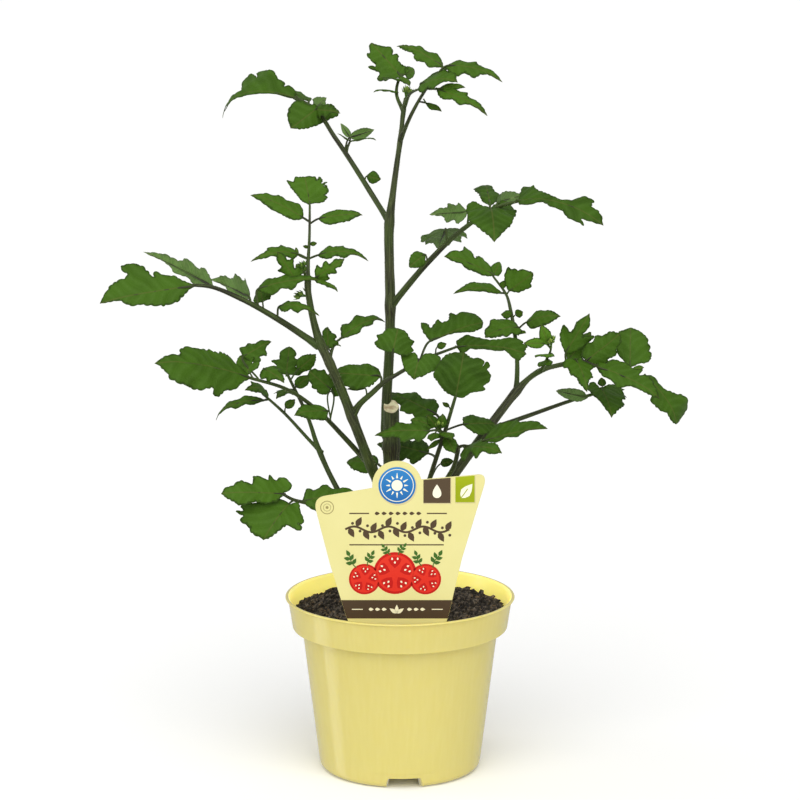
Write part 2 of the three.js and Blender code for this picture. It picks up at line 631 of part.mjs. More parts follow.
// Radius of the pot's inner wall at a height.
function innerRadius(height) {
  const slopes = [
    [0, FOOT_RADIUS],
    [LEDGE_HEIGHT - 0.3, BODY_TOP_RADIUS],
    [LEDGE_HEIGHT, COLLAR_FOOT_RADIUS],
    [POT_HEIGHT, RIM_RADIUS - LIP_STEP],
  ];
  const above = Math.max(1, slopes.findIndex(([level]) => level >= height));
  const [low, lowRadius] = slopes[above - 1];
  const [high, highRadius] = slopes[above];
  return THREE.MathUtils.mapLinear(height, low, high, lowRadius, highRadius) - WALL;
}

// LatheGeometry turns its profile round Y, so the result is stood up to make Z the axis.
function turned(profile, sides) {
  const geometry = new THREE.LatheGeometry(profile.map(([r, z]) => new THREE.Vector2(r, z)), sides);
  geometry.rotateX(Math.PI / 2);
  return geometry;
}

function potSolid() {
  const floorTop = FOOT_RING_HEIGHT + FLOOR_THICKNESS;
  const ringOuter = FOOT_RADIUS - FOOT_CORNER;
  const ringInner = ringOuter - FOOT_RING_WIDTH;
  const body = solidFrom(turned([
    [0, FOOT_RING_HEIGHT],
    [ringInner - 0.6, FOOT_RING_HEIGHT],
    [ringInner, 0],
    [ringOuter, 0],
    ...[22.5, 45, 67.5].map((turn) => [
      ringOuter + FOOT_CORNER * Math.sin(radians(turn)),
      FOOT_CORNER * (1 - Math.cos(radians(turn))),
    ]),
    [FOOT_RADIUS, FOOT_CORNER],
    [BODY_TOP_RADIUS, STEP_HEIGHT - 0.8],
    [BODY_TOP_RADIUS + 1, STEP_HEIGHT],
    [COLLAR_FOOT_RADIUS - 0.4, STEP_HEIGHT],
    [COLLAR_FOOT_RADIUS, STEP_HEIGHT + 0.4],
    [RIM_RADIUS - LIP_STEP, POT_HEIGHT - LIP_HEIGHT],
    [RIM_RADIUS - 0.3, POT_HEIGHT - LIP_HEIGHT],
    [RIM_RADIUS, POT_HEIGHT - LIP_HEIGHT + 0.3],
    [RIM_RADIUS, POT_HEIGHT - 0.4],
    [RIM_RADIUS - 0.5, POT_HEIGHT],
    [innerRadius(POT_HEIGHT) + 0.5, POT_HEIGHT],
    [innerRadius(POT_HEIGHT - 1), POT_HEIGHT - 1],
    [innerRadius(LEDGE_HEIGHT), LEDGE_HEIGHT],
    [innerRadius(LEDGE_HEIGHT - 0.3), LEDGE_HEIGHT - 0.3],
    [innerRadius(floorTop + 2), floorTop + 2],
    [innerRadius(floorTop) - 2, floorTop],
    [0, floorTop],
  ], POT_SIDES));
  const notch = new THREE.Shape([
    new THREE.Vector2(-NOTCH_WIDTH / 2, -1),
    new THREE.Vector2(NOTCH_WIDTH / 2, -1),
    new THREE.Vector2(NOTCH_WIDTH / 2 - NOTCH_SIDE_SLOPE, FOOT_RING_HEIGHT),
    new THREE.Vector2(-NOTCH_WIDTH / 2 + NOTCH_SIDE_SLOPE, FOOT_RING_HEIGHT),
  ]);
  const notches = Array.from({ length: NOTCH_COUNT }, (_, i) => {
    const reach = FOOT_RING_WIDTH + FOOT_CORNER + 10;
    const geometry = new THREE.ExtrudeGeometry(notch, { depth: reach, bevelEnabled: false });
    geometry.rotateX(Math.PI / 2);
    geometry.translate(0, -(ringInner - 4), 0);
    geometry.rotateZ((i / NOTCH_COUNT) * Math.PI * 2 + radians(NOTCH_TURN));
    return solidFrom(geometry);
  });
  return notches.reduce((pot, cut) => pot.subtract(cut), body);
}

// Height of the soil's crumbly surface: a mound with small bumps.
function soilHeight(x, y) {
  const share = Math.min(1, Math.hypot(x, y) / innerRadius(SOIL_AT_WALL));
  const mound = THREE.MathUtils.lerp(SOIL_AT_CENTRE, SOIL_AT_WALL, share ** 2);
  const bumps = Math.sin(x * 0.31 + 1.3) * Math.sin(y * 0.37) + 0.6 * Math.sin(x * 0.83 + y * 0.71 + 0.5);
  return mound + (bumps * SOIL_BUMP) / 1.6;
}

function soilSolid(holes) {
  const floor = FOOT_RING_HEIGHT + FLOOR_THICKNESS + SEAT_GAP;
  const wallAt = (height) => innerRadius(height) - SEAT_GAP;
  const surface = Array.from({ length: SOIL_RINGS }, (_, i) => {
    const share = 1 - i / SOIL_RINGS;
    return [wallAt(SOIL_AT_WALL - 2) * share, SOIL_AT_WALL];
  });
  const geometry = turned([
    [0, floor],
    [wallAt(floor) - 2.2, floor],
    [wallAt(floor + 2), floor + 2],
    [wallAt(LEDGE_HEIGHT - 0.5) - 0.2, LEDGE_HEIGHT + 0.5],
    [wallAt(LEDGE_HEIGHT + 1) - 0.2, LEDGE_HEIGHT + 0.7],
    ...surface,
    [0, SOIL_AT_WALL],
  ], SOIL_SIDES);
  const place = geometry.attributes.position;
  for (let i = 0; i < place.count; i += 1) {
    if (place.getZ(i) > SOIL_AT_WALL - 1) {
      place.setZ(i, soilHeight(place.getX(i), place.getY(i)));
    }
  }
  return holes.reduce((soil, hole) => soil.subtract(hole), solidFrom(geometry));
}

// The label's outline in its own plane: x across, y up from the surface that the pot stands on.
function labelOutline(grow = 0) {
  const [cx, cy] = LABEL_DISC_CENTRE;
  const shape = new THREE.Shape();
  shape.moveTo(-1, 44 - grow * 2);
  shape.lineTo(9 + grow, 62);
  shape.lineTo(21 + grow, 84);
  shape.lineTo(26.5 + grow, 99);
  shape.lineTo(34, 132);
  shape.lineTo(46.2, 173.5);
  shape.quadraticCurveTo(47.4, 179.2, 43, 179.1);
  shape.lineTo(11.8, cy + 3.2);
  shape.absarc(cx, cy, LABEL_DISC_RADIUS, radians(14), radians(186), false);
  shape.lineTo(-41, 167.2);
  shape.quadraticCurveTo(-47.6, 166, -46, 159);
  shape.lineTo(-38.5, 129);
  shape.lineTo(-29.5 - grow, 99);
  shape.lineTo(-23 - grow, 84);
  shape.lineTo(-11 - grow, 62);
  shape.closePath();
  return shape;
}

function labelSolid(grow = 0) {
  const geometry = new THREE.ExtrudeGeometry(labelOutline(grow), {
    depth: LABEL_THICKNESS + grow * 2,
    bevelEnabled: false,
    curveSegments: 5,
  });
  geometry.translate(0, -POT_HEIGHT, -LABEL_THICKNESS - grow);
  geometry.rotateX(Math.PI / 2 - radians(LABEL_LEAN));
  geometry.translate(0, LABEL_PLACE, POT_HEIGHT);
  return solidFrom(geometry);
}

// ---------------------------------------------------------------------------
// Stems and leaves
// ---------------------------------------------------------------------------

const stemTube = (stem, swell = 0) => tube(stem.path, stem.radii, STEM_SIDES, swell);

// The main stem was cut off at a slant above its topmost shoot.
function stubCutter() {
  const size = 40;
  const geometry = new THREE.BoxGeometry(size, size, size);
  geometry.translate(0, 0, size / 2);
  geometry.rotateX(radians(STUB_CUT_SLOPE));
  const { path, radii } = STEMS[0];
  const [x, y] = path.at(-1);
  const back = radii.at(-1);
  geometry.translate(x, y + back, STUB_CUT_TOP);
  return solidFrom(geometry);
}

// Where a leaflet's stalk leaves the midrib: a little nearer to the root than the leaflet's base is.
function footOn(path, base) {
  const steps = 100;
  const route = new THREE.CatmullRomCurve3(path.map(vector)).getPoints(steps);
  const distances = route.map((p) => p.distanceTo(base));
  const nearest = distances.indexOf(Math.min(...distances));
  const setBack = distances[nearest] * STALK_SET_BACK;
  let foot = nearest;
  while (foot > 0 && route[foot].distanceTo(route[nearest]) < setBack) foot -= 1;
  return route[foot];
}

// The leaflet's own directions: along it from base to tip, across it, and up from its upper face.
function leafletFrame(base, tip, facing) {
  const along = tip.clone().sub(base).normalize();
  const look = vector(FACINGS[facing]);
  const up = look.addScaledVector(along, -look.dot(along)).normalize();
  return { along, up, across: new THREE.Vector3().crossVectors(up, along) };
}

// The stalk's two ends, each as the direction across it and the direction up from it. At its foot it is
// square to its own run, and at the leaflet's base it is mitred between its run and the leaflet's.
function stalkEnds(run, { along, up, across }) {
  const acrossTo = (direction) => {
    const out = new THREE.Vector3().crossVectors(up, direction);
    return out.length() > 0.35 ? out.normalize() : across.clone();
  };
  const footAcross = acrossTo(run);
  const mitre = acrossTo(run.clone().add(along).normalize());
  const stretch = Math.min(1.5, 1 / Math.max(0.5, mitre.dot(across)));
  return {
    foot: [footAcross, new THREE.Vector3().crossVectors(run, footAcross).normalize()],
    base: [mitre.multiplyScalar(stretch), up],
  };
}

// A leaflet with its stalk, as one thin solid: flat triangles between its midrib and its cut edges, the same
// above and below. The midrib arches up by arch, and the halves slope down from it by fold degrees.
function leafletSolid([outline, basePoint, tipPoint, halfWidths, facing, arch, fold, footPoint], path) {
  const base = vector(basePoint);
  const tip = vector(tipPoint);
  const frame = leafletFrame(base, tip, facing);
  const { along, across, up } = frame;
  const length = base.distanceTo(tip);
  const slope = radians(fold);
  const [rightHalf, leftHalf] = halfWidths;
  const place = ([t, w]) => base.clone()
    .addScaledVector(along, t * length)
    .addScaledVector(across, w * Math.cos(slope))
    .addScaledVector(up, arch * 4 * t * (1 - t) - Math.abs(w) * Math.sin(slope));

  // Flat outline: share of the length and distance to the left. The base is a short edge, and the outline
  // runs counter-clockwise seen from above.
  const { rib, right, left } = OUTLINES[outline];
  const rightSide = [[0, -STALK_HALF_WIDTH], ...right.map(([t, w]) => [t, -w * rightHalf])];
  const leftSide = [[0, STALK_HALF_WIDTH], ...left.map(([t, w]) => [t, w * leftHalf])];
  const flat = [...rightSide, [1, 0], ...[...leftSide].reverse(), ...rib.map((t) => [t, 0])];
  const tipIndex = rightSide.length;
  const baseLeft = tipIndex + leftSide.length;
  const ribIndex = rib.map((_, i) => baseLeft + 1 + i);
  const range = (from, to) => Array.from({ length: to - from + 1 }, (_, i) => from + i);
  const halves = [
    [...range(0, tipIndex), ...[...ribIndex].reverse()],
    [0, ...ribIndex, ...range(tipIndex, baseLeft)],
  ];
  const spread = (i) => new THREE.Vector2(flat[i][0] * length, flat[i][1]);
  const top = halves.flatMap((half) =>
    THREE.ShapeUtils.triangulateShape(half.map(spread), []).map((face) => {
      const [a, b, c] = face.map((i) => half[i]);
      return THREE.ShapeUtils.area([a, b, c].map(spread)) > 0 ? [a, b, c] : [a, c, b];
    }));
  const rim = range(0, baseLeft);
  const middle = flat.map(place);
  const rise = flat.map(() => up);

  const foot = footPoint ? vector(footPoint) : footOn(path, base);
  const run = base.clone().sub(foot);
  if (run.length() > SHORTEST_STALK) {
    const ends = stalkEnds(run.normalize(), frame);
    const side = (centre, [sideways], way) =>
      centre.clone().addScaledVector(sideways, way * STALK_HALF_WIDTH);
    middle[0] = side(base, ends.base, -1);
    middle[baseLeft] = side(base, ends.base, 1);
    const footLeft = middle.push(side(foot, ends.foot, 1)) - 1;
    const footRight = middle.push(side(foot, ends.foot, -1)) - 1;
    rise.push(ends.foot[1], ends.foot[1]);
    top.push([footRight, 0, baseLeft], [footRight, baseLeft, footLeft]);
    rim.push(footLeft, footRight);
  } else {
    middle[0].addScaledVector(along, -SHORTEST_STALK);
    middle[baseLeft].addScaledVector(along, -SHORTEST_STALK);
  }

  const count = middle.length;
  const half = BLADE_THICKNESS / 2;
  const upper = middle.map((p, i) => p.clone().addScaledVector(rise[i], half));
  const lower = middle.map((p, i) => p.clone().addScaledVector(rise[i], -half));
  const bottom = top.map(([a, b, c]) => [a + count, c + count, b + count]);
  const walls = rim.flatMap((a, i) => {
    const b = rim[(i + 1) % rim.length];
    return [[a, a + count, b + count], [a, b + count, b]];
  });
  return solidFrom(geometryFrom([...upper, ...lower], [...top, ...bottom, ...walls]));
}

// A compound leaf: its midrib and its stalked leaflets as one solid, trimmed clear of what carries it.
function leafSolid({ path, radii, leaflets }, carrier) {
  const midrib = tube(path, evenRadii(path.length, radii), MIDRIB_SIDES);
  return wholeBody(joined([midrib, ...leaflets.map((row) => leafletSolid(row, path))]).subtract(carrier));
}

// ---------------------------------------------------------------------------
// Assembly
// ---------------------------------------------------------------------------

const tomatoPlant = new THREE.Group();

const stemNamed = Object.fromEntries(STEMS.map((stem) => [stem.name, stem]));
const leafNamed = Object.fromEntries(LEAVES.map((leaf) => [leaf.name, leaf]));

// What a shoot or leaf grows from, swollen by the gap that it keeps.
function carrierOf(name) {
  const stem = stemNamed[name];
  if (stem) return stemTube(stem, SEAT_GAP);
  const leaf = leafNamed[name];
  return tube(leaf.path, evenRadii(leaf.path.length, leaf.radii), MIDRIB_SIDES, SEAT_GAP);
}

const mainStem = STEMS[0];
tomatoPlant.add(
  meshFrom("pot", potSolid(), YELLOW_PLASTIC),
  meshFrom("soil", soilSolid([stemTube(mainStem, SEAT_GAP), labelSolid(SEAT_GAP)]), PEAT),
  meshFrom("label", labelSolid(), LABEL_PLASTIC),
  meshFrom(mainStem.name, stemTube(mainStem).subtract(stubCutter()), STEM_SKIN),
);
STEMS.slice(1).forEach((stem) => {
  tomatoPlant.add(meshFrom(stem.name, stemTube(stem).subtract(carrierOf(stem.parent)), STEM_SKIN));
});
LEAVES.forEach((leaf) => {
  tomatoPlant.add(meshFrom(leaf.name, leafSolid(leaf, carrierOf(leaf.parent)), LEAF_SKIN));
});

export default tomatoPlant;
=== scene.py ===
"""Young tomato plant in a round nursery pot, with a stick-in plant label: the finished look.

Metres, +Z up, in the frame of the plant's solid model. Tables of the plant's own sizes are in millimetres.
"""

import json
import math
import random
from itertools import combinations

import bpy
import numpy as np
from bpy.props import FloatProperty, FloatVectorProperty, IntProperty, PointerProperty
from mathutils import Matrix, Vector, noise
from mathutils.geometry import delaunay_2d_cdt, tessellate_polygon

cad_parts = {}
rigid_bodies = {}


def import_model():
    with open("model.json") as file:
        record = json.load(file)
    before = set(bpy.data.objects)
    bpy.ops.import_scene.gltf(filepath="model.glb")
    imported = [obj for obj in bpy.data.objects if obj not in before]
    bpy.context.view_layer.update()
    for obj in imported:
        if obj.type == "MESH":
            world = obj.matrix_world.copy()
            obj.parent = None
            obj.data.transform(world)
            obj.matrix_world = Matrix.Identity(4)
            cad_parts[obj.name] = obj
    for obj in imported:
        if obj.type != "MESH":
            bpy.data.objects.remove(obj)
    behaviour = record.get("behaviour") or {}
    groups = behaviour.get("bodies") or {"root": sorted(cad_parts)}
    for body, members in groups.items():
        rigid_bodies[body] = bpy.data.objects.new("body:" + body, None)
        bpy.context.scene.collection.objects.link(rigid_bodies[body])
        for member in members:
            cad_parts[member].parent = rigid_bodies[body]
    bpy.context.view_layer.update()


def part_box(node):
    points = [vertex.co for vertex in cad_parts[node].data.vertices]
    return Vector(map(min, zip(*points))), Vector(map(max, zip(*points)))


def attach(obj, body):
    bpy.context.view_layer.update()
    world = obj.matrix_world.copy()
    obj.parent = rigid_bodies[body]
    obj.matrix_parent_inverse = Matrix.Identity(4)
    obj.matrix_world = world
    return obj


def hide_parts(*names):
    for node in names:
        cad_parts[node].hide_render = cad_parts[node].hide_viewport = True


bl_info = {
    "name": "Potted tomato plant",
    "version": (1, 0, 0),
    "blender": (4, 5, 0),
    "location": "3D View > Sidebar > Tomato plant",
    "description": "Builds a young tomato plant in a nursery pot, with its compost and plant label",
    "category": "Add Mesh",
}

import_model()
POT_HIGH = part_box("pot")[1]
LABEL_LOW, LABEL_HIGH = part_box("label")

MM = 0.001
SEED = 7


def linear(code):
    """Linear colour, as the sockets take it, of an sRGB hex value such as #e6da84."""
    shares = [int(code[i : i + 2], 16) / 255 for i in (1, 3, 5)]
    return tuple(s / 12.92 if s <= 0.04045 else ((s + 0.055) / 1.055) ** 2.4 for s in shares)


# ---------------------------------------------------------------------------
# The plant's routes and leaflets, in millimetres
# ---------------------------------------------------------------------------

# A stem: the points that its axis passes through, from the root end up, and the radius at each.
STEMS = [
  {
    "name": "main_stem",
    "parent": None,
    "path": [
      [-5, 0, 73], [-5, 0, 96.5], [-5, 0, 126], [-5, 0, 155], [-5, 0, 183.5], [-5, 0, 212.5],
    ],
    "radii": [4.4, 4.7, 4.6, 4.5, 4.4, 4.3],
  },
  {
    "name": "leader_shoot",
    "parent": "main_stem",
    "path": [
      [-5, 0, 186], [-8, 3.5, 192], [-8, 5, 201], [-7.5, 4, 214], [-6, 1, 240.5],
      [-5.5, 0, 269], [-6, 0, 290], [-6, 0, 311], [-4, 0, 328], [-1.5, 1, 346.5],
      [0.5, 2, 360.5], [1.5, 3, 370.5], [3, 4, 380.5],
    ],
    "radii": [2, 2.7, 2.8, 2.8, 2.75, 2.8, 2.7, 2.6, 1.8, 1.5, 1.3, 1.2, 0.8],
  },
  {
    "name": "left_shoot",
    "parent": "main_stem",
    "path": [
      [-5, 0, 143.5], [-9, -2.5, 155.5], [-13.5, -5.5, 168.5], [-19.5, -10, 185],
      [-26.5, -15, 205], [-32.5, -18, 221.5], [-39, -21.5, 237.5], [-44.5, -23, 250],
      [-47.5, -23, 261], [-49.5, -22, 271], [-50.5, -21, 278.5], [-50.5, -20, 285],
    ],
    "radii": [2.9, 2.9, 2.8, 2.8, 2.7, 2.6, 2.4, 2.3, 1.9, 1.8, 1.6, 1.3],
  },
  {
    "name": "right_shoot",
    "parent": "main_stem",
    "path": [
      [-5, 0, 125], [1, -3.5, 135], [11.5, -5, 147.5], [22.5, -5, 160], [32, -3.5, 172.5],
      [41.5, -0.5, 185], [50.5, 2, 197], [58, 5.5, 206.5], [66, 11, 215.5],
      [72.5, 15.5, 221.5], [81.5, 22, 226], [90, 24, 228], [98, 25, 229.5],
    ],
    "radii": [3, 3, 2.9, 2.8, 2.7, 2.6, 2.5, 2.4, 2.3, 1.6, 1.4, 1.3, 1.1],
  },
  {
    "name": "front_shoot",
    "parent": "right_shoot",
    "path": [
      [18, -5, 155], [22.5, -12, 163.5], [26.5, -15.5, 171], [30, -17.5, 178],
      [31.5, -19, 184], [32, -20.5, 189], [29, -23, 193.5], [25, -25, 197.5],
      [21.5, -26, 200.5],
    ],
    "radii": [1.2, 1.4, 1.4, 1.3, 1.2, 1.1, 0.9, 0.8, 0.7],
  },
]


# A compound leaf: its midrib as a path with the radii at its two ends, and its leaflets. Each leaflet has the
# name of its outline, its base and tip, the widths of its right and left half, the way that it faces, how far
# its midrib arches, and how many degrees its halves fold down. A stalk that leaves the midrib elsewhere than
# beside the leaflet has its foot last.

LEAVES = [
  {
    "name": "leaf_upper_left",
    "parent": "leader_shoot",
    "path": [
      [-6, 0, 312.5], [-36.5, 31, 356.5], [-49, 42, 372.5], [-59.5, 47, 378],
    ],
    "radii": [1.6, 0.7],
    "leaflets": [
      ["upper_left", [-59, 47, 378], [-104, 74, 366], [21, 2.5], "tilted", 12, 5],
      ["upper_heart", [-46, 38.5, 373], [-61, 29.5, 362], [10.5, 9.5], "front", 2, 6],
      ["toothed", [-48, 38.5, 371.5], [-34, 27.5, 371], [4.5, 4.5], "steep", 1, 8],
      ["oval", [-48, 43.5, 372], [-43, 62, 376], [4.5, 4.5], "away", 1, 5],
      ["oval", [-51.5, 45, 376], [-67, 69.5, 382], [5, 5], "up", 1, 10],
      ["oval", [-28, 27, 357], [-15, 35, 360.5], [3, 3], "away", -1, 10],
      ["oval", [-28, 27, 357], [-33, 33.5, 364], [2, 2], "away", 0, 10],
      ["oval", [-27.5, 24.5, 355], [-13.5, 15.5, 357.5], [3, 3], "up", 1, 10],
      ["oval", [-28.5, 25.5, 355.5], [-34.5, 22.5, 360], [1.5, 1.5], "up", 0, 10],
      ["tiny", [-18.5, 15, 336.5], [-11, 11, 335], [3.5, 3.5], "front", 0, 10],
    ],
  },
  {
    "name": "leaf_top_left",
    "parent": "leader_shoot",
    "path": [
      [2, 3, 373], [-2, 14, 383], [-1, 19, 388.5], [1.5, 22, 392.5],
    ],
    "radii": [1.1, 0.6],
    "leaflets": [
      ["top_left", [1, 21.5, 391], [-17, 45, 409.5], [6.5, 11], "front", -2, 10],
      ["oval", [0.5, 19, 389.5], [-12, 10.5, 391.5], [4.5, 4.5], "up", 1, 10],
      ["oval", [-1, 14, 383], [-14.5, 7, 384.5], [3.5, 3.5], "up", 1, 10],
      ["oval", [3, 22, 392.5], [9, 34.5, 394], [3.5, 3.5], "front", 0, 10],
      ["tiny", [0.5, 21, 391.5], [5.5, 11.5, 387.5], [3, 3], "up", 0, 10],
    ],
  },
  {
    "name": "leaf_top_right",
    "parent": "leader_shoot",
    "path": [
      [0, 1, 357.5], [7, -8.5, 374], [15, -17, 388], [23.5, -22, 399],
    ],
    "radii": [1.2, 0.6],
    "leaflets": [
      ["toothed", [25, -22.5, 399.5], [54.5, -36, 393], [6, 6], "tilted", 4, 15],
      ["toothed", [23, -21, 399], [-2, -3.5, 410.5], [5, 5], "tilted", 3, 15],
      ["toothed", [11, -17, 389.5], [30, -37.5, 393], [8, 13], "tilted", 2, 5],
      ["tiny", [14.5, -14.5, 379], [22.5, -20, 375.5], [2, 2], "tilted", 0, 10],
      ["tiny", [14.5, -14.5, 379], [13, -17.5, 381.5], [1.5, 1.5], "tilted", 0, 10],
    ],
  },
  {
    "name": "leaf_top_front",
    "parent": "leader_shoot",
    "path": [
      [2.5, 3, 376], [6, -7.5, 384], [9, -13, 386], [20, -28, 387.5],
    ],
    "radii": [0.9, 0.5],
    "leaflets": [
      ["toothed", [20, -28, 387.5], [46, -52, 376.5], [4.5, 6], "tilted", 2, 8],
      ["tiny", [21.5, -29.5, 388], [35, -29.5, 389], [2.5, 2.5], "tilted", 1, 10],
    ],
  },
  {
    "name": "leaf_upper_right",
    "parent": "leader_shoot",
    "path": [
      [-5, 0, 265.5], [16, -14.5, 292.5], [33, -26, 310.5], [57, -43, 327], [63.5, -47, 329],
    ],
    "radii": [1.9, 0.7],
    "leaflets": [
      ["arm", [63, -47, 329.5], [106.5, -73, 321], [7.5, 13.5], "tilted", 7, 5],
      ["smooth_heart", [48.5, -39.5, 325], [50, -65.5, 311], [12, 13.5], "up", 4, 6],
      ["thumb", [48.5, -37.5, 326], [46.5, -3, 334.5], [6.8, 6.8], "up", 2, 12],
      ["oval", [52, -38, 326.5], [67.5, -11, 328.5], [4.5, 4.5], "away", 3, 5],
      ["toothed", [36.5, -27.5, 321], [17, -15, 318.5], [5.5, 5.5], "away", 1, 12],
      ["heart", [25, -19.5, 311], [21, 11.5, 297.5], [12, 12], "up", 0, 10],
      ["tiny", [13.5, -15, 296.5], [5, -16.5, 289.5], [4.5, 4.5], "front", 0, 8],
    ],
  },
  {
    "name": "leaf_long_left",
    "parent": "left_shoot",
    "path": [
      [-44.5, -22, 246.5], [-68, -27, 263], [-87, -32.5, 274.5], [-103, -36.5, 281.5],
      [-115, -41, 283],
    ],
    "radii": [2, 0.8],
    "leaflets": [
      ["long_left", [-111, -40.5, 282.6], [-161, -52, 275.5], [19.5, 8], "steep", 2, 5],
      ["toothed", [-101.5, -35.5, 281.5], [-140.5, 0, 295.5], [3.5, 7], "away", 2, 8],
      ["toothed", [-82, -29, 274.5], [-104, 1.5, 280], [4, 9], "away", 2, 8],
      ["toothed", [-77.5, -29, 279], [-43.5, -30, 285], [5.5, 5.5], "tilted", 3, 8],
      ["oval", [-75, -27.5, 272], [-77, -17, 278], [5, 5], "front", 0, 10],
      ["toothed", [-66, -28.5, 269.5], [-44, -40, 267], [4, 4], "tilted", 4, 12],
    ],
  },
  {
    "name": "leaf_left_crown",
    "parent": "left_shoot",
    "path": [
      [-50.5, -20, 281.5], [-50.5, -13.5, 292], [-50, -7.5, 303.5], [-50, 3, 321.5],
    ],
    "radii": [1.2, 0.6],
    "leaflets": [
      ["crown", [-50, 3, 322], [-53.5, 20, 336.5], [12, 9], "front", -2, 15],
      ["blade", [-53.5, -1.5, 315], [-81.5, -6.5, 329], [7.8, 5], "tilted", 2, 12],
      ["oval", [-45, -1.5, 314.5], [-21, -6.5, 318], [4.8, 4.8], "tilted", 1, 12],
      ["toothed", [-56, -11, 296], [-81.5, -20, 294], [6, 4], "tilted", 4, 12],
      ["toothed", [-45, -11, 295.5], [-17.5, -16.5, 294], [4, 5.5], "tilted", 5, 12],
      ["tiny", [-49.5, -8, 301], [-46, -11, 302], [1.25, 1.25], "front", 0, 10],
      ["tiny", [-50.5, -9.5, 299.5], [-53, -12.5, 300.5], [1, 1], "front", 0, 10],
      ["tiny", [-56.5, -10, 296], [-57.5, -8, 299.5], [1, 1], "front", 0, 10],
    ],
  },
  {
    "name": "leaf_left_tip",
    "parent": "left_shoot",
    "path": [
      [-50.5, -20, 282.5], [-51.5, -24, 285.5], [-52.5, -26, 288.5],
    ],
    "radii": [1.1, 0.6],
    "leaflets": [
      ["lobed", [-56.5, -26, 283], [-66.5, -31, 299.5], [6, 6], "front", -1, 15],
      ["lobed", [-46, -25, 285], [-30.5, -30, 295.5], [5, 5], "front", 0, 12],
      ["oval", [-46, -26, 284], [-33.5, -38, 280], [3, 3], "up", 1, 15],
      ["oval", [-52, -26, 288], [-57, -24, 292], [3, 3], "front", 0, 10],
      ["tiny", [-51.5, -26, 288.5], [-53.5, -27, 293.5], [1.25, 1.25], "front", 0, 10],
    ],
  },
  {
    "name": "leaf_left_inner",
    "parent": "left_shoot",
    "path": [
      [-39, -21.5, 237.5], [-38, -18, 242], [-36, -13.5, 246.5], [-32.5, -9.5, 249],
    ],
    "radii": [1, 0.6],
    "leaflets": [
      ["toothed", [-32.5, -9.5, 249], [-8, 7.5, 256.5], [3.5, 7], "tilted", 6, 8],
      ["toothed", [-39.5, -17.5, 244.5], [-40.5, -5, 255.5], [5.5, 5.5], "front", 0, 10],
      ["tiny", [-37, -14.5, 246.5], [-32.5, -18.5, 246.5], [1.25, 1.25], "up", 0, 10],
    ],
  },
  {
    "name": "leaf_broad_left",
    "parent": "left_shoot",
    "path": [
      [-16, -7.5, 176], [-22, -3.5, 181.5], [-31, -6, 192], [-45.5, -15, 209],
      [-61.5, -27.5, 223], [-82, -42.5, 232.5],
    ],
    "radii": [1.8, 0.8],
    "leaflets": [
      ["broad_left", [-81.5, -42.5, 232.5], [-129, -70.5, 247], [14.5, 17], "tilted", 3, 5],
      ["toothed", [-85.5, -35, 243], [-70.5, -22.5, 250], [7, 7], "tilted", 0, 8],
      ["lobed", [-81.5, -40, 234.5], [-88, -31.5, 243], [7.5, 7.5], "front", 0, 8],
      ["toothed", [-74.5, -33, 236], [-63, -45.5, 231], [6, 6], "tilted", 1, 10],
      ["oval", [-40, -17.5, 209.5], [-57.5, -31, 210.5], [6, 6], "tilted", 1, 8],
      ["broad", [-38.5, -3.5, 219], [-51, -1, 229], [6, 6.5], "front", 0, 8],
      ["tiny", [-38.5, -3.5, 218], [-29.5, -0.5, 218.5], [3.5, 3.5], "front", 0, 8],
    ],
  },
  {
    "name": "leaf_low_left",
    "parent": "main_stem",
    "path": [
      [-5, 0, 118.5], [-11.5, 2, 125.5], [-47, 21, 181.5], [-52, 25, 196],
      [-64.5, 32.5, 221.5],
    ],
    "radii": [2, 0.8],
    "leaflets": [
      ["lobed", [-65, 32.5, 221], [-63.5, 40, 236.5], [10, 10], "front", -1, 8],
      ["oval", [-58.5, 31.5, 224], [-48, 27, 233.5], [4.5, 4.5], "front", 0, 10],
      ["toothed", [-62.5, 27.5, 213.5], [-70, 11.5, 212], [6, 6], "up", 1, 8],
      ["oval", [-59.5, 28.5, 214.5], [-51.5, 23.5, 222], [3.5, 3.5], "front", 0, 10],
    ],
  },
  {
    "name": "leaf_drooping_left",
    "parent": "leaf_low_left",
    "path": [
      [-44.5, 19.5, 178], [-50, 22.5, 183], [-67, 29.5, 200], [-79, 36, 209.5],
    ],
    "radii": [1.2, 0.7],
    "leaflets": [
      ["toothed", [-76.5, 35, 211], [-87.5, 21, 215], [6.5, 6.5], "tilted", 2, 5],
      ["toothed", [-78, 33.5, 206], [-108, 48.5, 192.5], [3.5, 3], "tilted", 6, 5],
      ["oval", [-65.5, 29, 202.5], [-60, 26, 207.5], [2.5, 2.5], "front", 0, 8],
    ],
  },
  {
    "name": "leaf_centre_right",
    "parent": "left_shoot",
    "path": [
      [-26.5, -15, 206.5], [-22.5, -18, 213], [-15.5, -21, 220], [-8.5, -22, 226.5],
      [-2, -22, 230.5], [11, -19, 237.5], [31.5, -12, 244.5],
    ],
    "radii": [1.9, 0.7],
    "leaflets": [
      ["strap", [31.5, -12, 244.5], [69, -26, 244], [5, 9], "tilted", 3, 6],
      ["club", [16.5, -14, 248], [46.5, -2, 257.5], [4.5, 14.5], "tilted", 1, 6, [10.5, -19, 237]],
      ["wings", [10.5, -22.5, 239.5], [7.5, -26, 228.5], [14, 12], "tilted", 1, 5],
      ["broad", [-4, -25, 243.5], [-1, -21, 256.5], [11, 11], "front", -1, 10],
      ["oval", [-10.5, -22, 229.5], [-41, -6, 228.5], [8.5, 8.5], "tilted", 1, 6],
      ["tiny", [-19.5, -21, 223], [-29.5, -17, 222], [1.5, 1.5], "tilted", 0, 8],
      ["tiny", [20.5, -16, 245], [25.5, -18, 247], [2, 2], "front", 0, 8],
    ],
  },
  {
    "name": "leaf_centre",
    "parent": "right_shoot",
    "path": [
